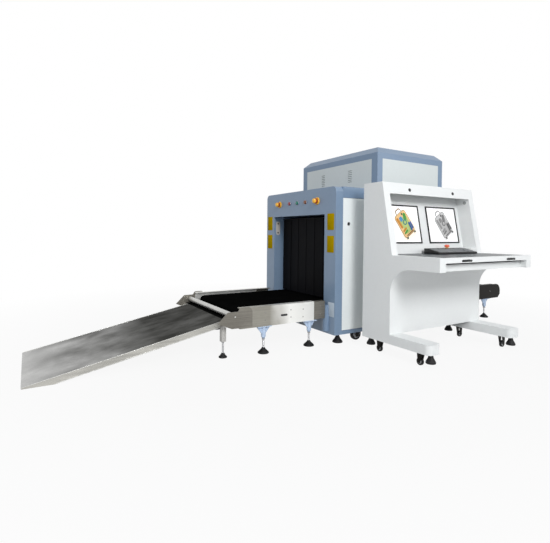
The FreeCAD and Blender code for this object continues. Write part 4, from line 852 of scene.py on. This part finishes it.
for end, sign in portal_ends.items():
    face_x = middle_x + sign * portal_reach
    for side, y in stop_lines.items():
        spot = look_along((face_x, y, control_height), (sign, 0, 0))
        lathed(collars, [(0.0093, 0), (0.0312, 0), (0.0318, 0.0010), (0.0318, 0.0066),
                         (0.0304, 0.0092), (0.0270, 0.0102), (0.0150, 0.0098),
                         (0.0093, 0.0098), (0.0093, 0)], 40, spot)
        body = f"stop_button_{end}_{side}"
        skirt = bmesh.new()
        lathed(skirt, [(0, 0.0050), (0.0088, 0.0050), (0.0088, 0.0155), (0.0200, 0.0160),
                       (0.0236, 0.0172), (0.0246, 0.0190), (0.0246, 0.0240), (0.0228, 0.0258),
                       (0.0195, 0.0270), (0, 0.0270)], 40, spot)
        finished(f"{body}_skirt", skirt, stop_red, body, "stop_red", body)
        cap = bmesh.new()
        lathed(cap, [(0, 0.0268), (0.0192, 0.0268), (0.0204, 0.0300), (0.0202, 0.0390),
                     (0.0184, 0.0430), (0.0140, 0.0458), (0.0072, 0.0472), (0, 0.0476)], 40, spot)
        finished(f"{body}_cap", cap, stop_yellow, body, "stop_orange")
finished("stop_collars", collars, stop_yellow, "root", "stop_orange", "stop_button_collars")

bezels = bmesh.new()
for colour, y, deep, pale in (
        ("red", middle_y + lamp_gap, (0.19, 0.001, 0.012, 1), (0.25, 0.002, 0.018, 1)),
        ("green", middle_y, (0.001, 0.15, 0.105, 1), (0.002, 0.19, 0.13, 1)),
        ("amber", middle_y - lamp_gap, (0.16, 0.045, 0.018, 1), (0.20, 0.060, 0.024, 1))):
    glass = finish(f"lamp_{colour}", rubber, coat_weight=0.6, Colour=deep, Dust=pale,
                   Grain=900.0, Roughness=0.15)
    lenses = bmesh.new()
    for sign in portal_ends.values():
        spot = look_along((middle_x + sign * portal_reach, y, control_height), (sign, 0, 0))
        lathed(bezels, [(0.0168, 0), (0.0188, 0), (0.0190, 0.0008), (0.0190, 0.0018),
                        (0.0182, 0.0028), (0.0174, 0.0028), (0.0168, 0.0020), (0.0168, 0)],
               36, spot)
        lathed(lenses, [(0, 0), (0.0166, 0), (0.0170, 0.0060), (0.0164, 0.0110),
                        (0.0134, 0.0146), (0.0072, 0.0164), (0, 0.0168)], 32, spot)
    finished(f"{colour}_lamp_lenses", lenses, glass, "root", f"lamp_{colour}", f"{colour}_lamps")
finished("lamp_bezels", bezels, lock_metal, "root", "caster_steel")

windows = bmesh.new()
for sign in portal_ends.values():
    for side in (-1, 1):
        for height in (0.908, 0.998):
            place = (middle_x + sign * 0.833, middle_y + side * 0.402, height)
            spot = look_along(place, (0, -side, 0))
            lathed(windows, [(0, -0.001), (0.0080, -0.001), (0.0080, 0.0006), (0.0070, 0.0012),
                             (0.0050, 0.0006), (0, 0.0006)], 24, spot)
finished("barrier_windows", windows, lock_black, "root", "monitor_black")


# Console housing: white powder-coated sheet boxes, bolted together from inside. The header
# has two cam locks and the right cheek a cable grommet.
console_paint = finish("console_paint", coat, Colour=(0.78, 0.80, 0.80, 1), Mottle=0.04,
                       Roughness=0.34, Peel=0.00003)
dress(console_paint, "console_side_left", "console_side_right", "console_knee_panel",
      "console_back_panel", "console_hood", "console_monitor_panel", "console_desk_rail",
      "console_shelf")
hood_slope = 0.19118
hood_foot_y = -0.581
desk_top = 0.750
hood_normal = (0, -1, hood_slope)
lock_stations = (0.280, 0.805)
lock_height = 1.246
lock_y = hood_foot_y + hood_slope * (lock_height - desk_top)
header_rings = bmesh.new()
header_barrels = bmesh.new()
for x in lock_stations:
    spot = look_along((x, lock_y, lock_height), hood_normal)
    lathed(header_rings, [(0.0095, -0.001), (0.0135, -0.001), (0.0135, 0.0022),
                          (0.0120, 0.0038), (0.0095, 0.0030), (0.0095, -0.001)], 28, spot)
    lathed(header_barrels, [(0, -0.001), (0.0094, -0.001), (0.0094, 0.0048), (0.0078, 0.0060),
                            (0, 0.0060)], 24, spot)
finished("header_lock_rings", header_rings, lock_black, "root", "caster_steel")
finished("header_lock_barrels", header_barrels, lock_black, "root", "caster_steel")
grommet_grey = finish("grommet_grey", rubber, specular=0.3, Colour=(0.36, 0.38, 0.38, 1),
                      Dust=(0.42, 0.44, 0.44, 1), Grain=900.0, Roughness=0.45)
grommet = bmesh.new()
spot = look_along((1.015, -0.455, 1.181), (-1, 0, 0))
lathed(grommet, [(0, -0.001), (0.0150, -0.001), (0.0155, 0.0012), (0.0140, 0.0026),
                 (0.0110, 0.0028), (0.0095, 0.0008), (0, 0.0008)], 32, spot)
finished("cheek_grommet", grommet, grommet_grey, "root", "console_white")
outlet = bmesh.new()
softened_box(outlet, (0.937, -0.577, 0.7505), (1.013, -0.458, 0.794), 0.004, segments=3)
finished("desk_outlet_box", outlet, console_paint, "root", "console_white")


# Desk: a grey laminate board in a white frame. The folded front rail has two dark finger pulls,
# moulded plates that are pressed into it under each end of the board.
laminate = finish("laminate", coat, specular=0.15, edge=0.15,
                  Colour=(0.060, 0.070, 0.078, 1), Mottle=0.15, Roughness=0.26, Peel=0.00002)
dress(laminate, "console_desktop")
pulls = bmesh.new()
for x in lock_stations:
    spot = look_along((x, -0.9852, 0.7268), (0, -1, 0))
    rounded_plate(pulls, 0.112, 0.014, 0.0065, 0.0012, spot)
    softened_box(pulls, (-0.050, 0.0005, 0.0006), (0.050, 0.0035, 0.0030), 0.001, spot)
finished("desk_pulls", pulls, black_plastic, "root", "monitor_black")


# Control keyboard: a black moulded case that narrows and rises to the back, with grey square
# keys in rows and a red-orange stop knob on its ledge.
case_low, case_high = (Vector(corner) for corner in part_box("control_keyboard"))
case_sole = 0.7503
slope_low = Vector((0, case_low.y + 0.002, 0.764))
slope_high = Vector((0, case_high.y - 0.052, 0.7905))
ledge_back = Vector((0, case_high.y - 0.003, 0.7920))
case = bmesh.new()
levels = []
for top, left, right in ((slope_low, 0.020, 0.020), (slope_high, 0.042, 0.027),
                         (ledge_back, 0.056, 0.032)):
    x_low, x_high = case_low.x + left, case_high.x - right
    levels.append([case.verts.new(corner) for corner in (
        (x_low, top.y, case_sole), (x_high, top.y, case_sole), (x_high, *top.yz),
        (x_low, *top.yz))])
for near, far in zip(levels, levels[1:]):
    for i in range(4):
        j = (i + 1) % 4
        case.faces.new((near[i], near[j], far[j], far[i]))
case.faces.new(levels[0])
case.faces.new(levels[-1])
bmesh.ops.bevel(case, geom=case.edges[:], offset=0.0045, segments=3, profile=0.5,
                affect="EDGES", clamp_overlap=True)
finished("keyboard_case", case, black_plastic, "root", "keyboard_plastic", "control_keyboard")
keys, given, result = new_tree("square_keys", [("Key Height", "size"), ("Crown Share", "size")])
corner_reach = 0.7071
crown = worked(keys, "MULTIPLY", given.outputs["Crown Share"], corner_reach)
cap = add(keys, "GeometryNodeMeshCone", Vertices=4, Radius_Top=crown,
          Radius_Bottom=corner_reach, Depth=given.outputs["Key Height"])
squared = add(keys, "GeometryNodeTransform", Geometry=cap.outputs[0],
              Rotation=(0, 0, math.radians(45)))
set_on_points(keys, given, result, squared.outputs[0])
key_grey = finish("key_grey", rubber, specular=0.5, Colour=(0.18, 0.19, 0.20, 1),
                  Dust=(0.30, 0.31, 0.32, 1), Grain=1200.0, Roughness=0.4)
uphill = (slope_high - slope_low).normalized()
key_normal = Vector((1, 0, 0)).cross(uphill)
key_pitch = 0.0190
key_side = 0.0160
key_sunk = key_normal * 0.001
first_key = slope_low + uphill * 0.016 + Vector((case_low.x + 0.058, 0, 0))
key_spots = []
for row, gaps in enumerate(((5, 6, 7, 8, 18), (17,), (18,), (), (4, 9, 14, 18))):
    for column in range(23):
        if column in gaps:
            continue
        place = first_key + (uphill * row + Vector((column, 0, 0))) * key_pitch
        key_spots.append((place - key_sunk, key_normal, (key_side, key_side, 1.0)))
space_bar = first_key + Vector((6.5, 0, 0)) * key_pitch
key_spots.append((space_bar - key_sunk, key_normal, (0.072, key_side, 1.0)))
grown("keyboard_keys", keys, key_spots, {"Key Height": 0.0055, "Crown Share": 0.80},
      key_grey, "root", "keyboard_plastic", smooth=20)
knob_red = finish("knob_red", rubber, coat_weight=0.5, Colour=(0.78, 0.075, 0.018, 1),
                  Dust=(0.82, 0.13, 0.03, 1), Grain=900.0, Roughness=0.22)
knob = bmesh.new()
knob_low, knob_high = (Vector(corner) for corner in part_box("keyboard_stop_button"))
middle = (knob_low + knob_high) / 2
knob_rise = 0.007
tall = knob_high.z - knob_low.z + knob_rise
lathed(knob, [(0, 0), (0.0068, 0), (0.0068, tall - 0.0220), (0.0150, tall - 0.0216),
              (0.0192, tall - 0.0190), (0.0200, tall - 0.0130), (0.0190, tall - 0.0072),
              (0.0150, tall - 0.0026), (0.0080, tall - 0.0005), (0, tall)], 40,
       Matrix.Translation((*middle.xy, knob_low.z)))
finished("keyboard_stop_knob", knob, knob_red, "keyboard_stop", "stop_red",
         "keyboard_stop_button")
knob_collar = bmesh.new()
lathed(knob_collar, [(0.0080, 0), (0.0175, 0), (0.0175, 0.0020), (0.0155, 0.0034),
                     (0.0080, 0.0034), (0.0080, 0)], 32,
       Matrix.Translation((*middle.xy, ledge_back.z)))
finished("keyboard_stop_collar", knob_collar, stop_yellow, "root", "stop_orange")


# Monitors: thin-edged black displays that lean back in the hood's panel. Each shows a plain
# picture of a scanned case, in false colours on the left and in greys on the right.
dress(black_plastic, "monitors")
monitor_places = (0.298, 0.776)
monitor_width = 0.384
monitor_half_z = 0.1525
monitor_middle_z = 0.9835
panel_setback = 0.123
monitor_y = hood_foot_y + panel_setback + hood_slope * (monitor_middle_z - desk_top)
monitor_height = 2 * monitor_half_z * math.hypot(1, hood_slope)
frame_edge = 0.0105
frames = bmesh.new()
for x in monitor_places:
    spot = look_along((x, monitor_y, monitor_middle_z), hood_normal)
    half_w, half_h = monitor_width / 2, monitor_height / 2
    for low, high in (((-half_w, -half_h), (half_w, -half_h + frame_edge)),
                      ((-half_w, half_h - frame_edge), (half_w, half_h)),
                      ((-half_w, -half_h), (-half_w + frame_edge, half_h)),
                      ((half_w - frame_edge, -half_h), (half_w, half_h))):
        softened_box(frames, (*low, -0.012), (*high, 0.0060), 0.0012, spot)
finished("monitor_frames", frames, black_plastic, "root", "monitor_black")

screen_glow = bpy.data.materials.new("screen_glow")
screen_glow.use_nodes = True
tree = screen_glow.node_tree
tree.nodes.clear()
tint = add(tree, "ShaderNodeAttribute", {"attribute_name": "tint"})
speckle = noise(tree, 260.0, 2.0)
speckled = ranged(tree, speckle, 0.3, 0.7, 0.96, 1.0)
lit = add(tree, "ShaderNodeHueSaturation", Color=tint.outputs["Color"], Value=speckled)
shader = add(tree, "ShaderNodeBsdfPrincipled", Base_Color=lit.outputs[0],
             Emission_Color=lit.outputs[0], Emission_Strength=0.22, Roughness=0.3,
             Specular_IOR_Level=0.3)
add(tree, "ShaderNodeOutputMaterial", Surface=shader.outputs[0])


def picture(mesh, tint_layer, shapes, spot, grey):
    """Layers of rounded shapes (u, v, width, height, corner, turn, colour), lowest first."""
    for level, (u, v, width, height, corner, turn, colour) in enumerate(shapes):
        if grey:
            value = 0.3 * colour[0] + 0.55 * colour[1] + 0.15 * colour[2]
            colour = (value, value, value)
        before = len(mesh.faces)
        lean = Matrix.Translation((u, v, 0.0004 * level)) @ Matrix.Rotation(
            math.radians(turn), 4, "Z")
        rounded_plate(mesh, width, height, corner, 0.0004, spot @ lean, edge=0.0001)
        mesh.faces.ensure_lookup_table()
        for face in mesh.faces[before:]:
            for loop in face.loops:
                loop[tint_layer] = (*colour, 1.0)


pane = (monitor_width - 2 * frame_edge + 0.002, monitor_height - 2 * frame_edge + 0.002)
case_turn = 32.0
picture_scale = 1.10
picture_shift = (0.016, 0.002)
inside = Matrix.Rotation(math.radians(case_turn), 3, "Z")


def in_case(along, across, width, height, corner, turn, colour):
    """Shape placed by the scanned case's own length and width."""
    u, v, _ = inside @ Vector((across, along, 0)) * picture_scale
    width, height, corner = (length * picture_scale for length in (width, height, corner))
    shift_u, shift_v = picture_shift
    return (u + shift_u, v + shift_v, width, height, corner, case_turn + turn, colour)


peach, rim, straw = (0.72, 0.46, 0.20), (0.22, 0.13, 0.04), (0.36, 0.46, 0.14)
leaf, teal, blue = (0.05, 0.24, 0.03), (0.01, 0.16, 0.17), (0.01, 0.07, 0.30)
ochre, sky_blue, dark = (0.46, 0.18, 0.01), (0.05, 0.22, 0.44), (0.03, 0.06, 0.03)
shapes = [
    (0, 0, *pane, 0.003, 0, (0.98, 0.98, 0.98)),
    in_case(-0.004, 0.000, 0.176, 0.216, 0.050, 0, (0.96, 0.94, 0.90)),
    in_case(-0.030, 0.006, 0.160, 0.176, 0.040, -9, (0.92, 0.84, 0.72)),
    in_case(0.098, 0.0, 0.062, 0.050, 0.020, 0, rim),
    in_case(0.096, 0.0, 0.048, 0.038, 0.015, 0, (0.98, 0.98, 0.98)),
    in_case(0.0, 0.0, 0.132, 0.184, 0.024, 0, rim),
    in_case(0.0, 0.0, 0.124, 0.176, 0.021, 0, peach),
    in_case(-0.010, 0.008, 0.084, 0.120, 0.012, 0, straw),
    in_case(0.030, -0.044, 0.022, 0.086, 0.008, 4, ochre),
    in_case(0.042, 0.030, 0.030, 0.060, 0.014, -24, leaf),
    in_case(0.074, 0.018, 0.012, 0.018, 0.004, -24, dark),
    in_case(0.048, -0.012, 0.030, 0.034, 0.006, 8, sky_blue),
    in_case(0.010, 0.006, 0.040, 0.040, 0.0199, 0, teal),
    in_case(0.010, 0.006, 0.024, 0.024, 0.0119, 0, straw),
    in_case(-0.032, -0.030, 0.046, 0.014, 0.005, 10, ochre),
    in_case(-0.052, -0.030, 0.046, 0.014, 0.005, 10, leaf),
    in_case(-0.040, 0.034, 0.014, 0.064, 0.003, -6, blue),
    in_case(-0.040, 0.052, 0.012, 0.056, 0.003, -6, blue),
    in_case(-0.078, 0.000, 0.086, 0.010, 0.004, 0, rim),
    in_case(-0.094, -0.048, 0.016, 0.016, 0.0078, 0, dark),
    in_case(-0.094, 0.048, 0.016, 0.016, 0.0078, 0, dark),
]
for name, x, grey in (("left", monitor_places[0], False), ("right", monitor_places[1], True)):
    screen = bmesh.new()
    tint_layer = screen.loops.layers.float_color.new("tint")
    spot = look_along((x, monitor_y, monitor_middle_z), hood_normal) @ Matrix.Translation(
        (0, 0, 0.0003))
    picture(screen, tint_layer, shapes, spot, grey)
    finished(f"{name}_screen", screen, screen_glow, "root", "monitor_black")


# Console feet and casters: rubber bells under the bars' ends, and small swivel casters with a
# black tyre on a grey hub in a dark pressed fork.
dress(dark_steel, "caster_fork_left_front", "caster_fork_left_rear",
      "caster_fork_right_front", "caster_fork_right_rear")
for side, outward in (("left", (-1, 0, 0)), ("right", (0, -1, 0))):
    for end in ("front", "rear"):
        wheel(f"caster_wheel_{side}_{end}", outward, hub_share=0.60, bore=0.0046, steps=36)
bell_lift = 0.035
bar_bells = bmesh.new()
for x in (0.0595, 1.0145):
    for y in (-0.880, -0.319):
        lathed(bar_bells, bell_profile(0.034, 0.014, 0.0130, 0.065), 36,
               Matrix.Translation((x, y, bell_lift)))
finished("bar_bells", bar_bells, black_rubber, "root", "black_rubber", "console_feet")
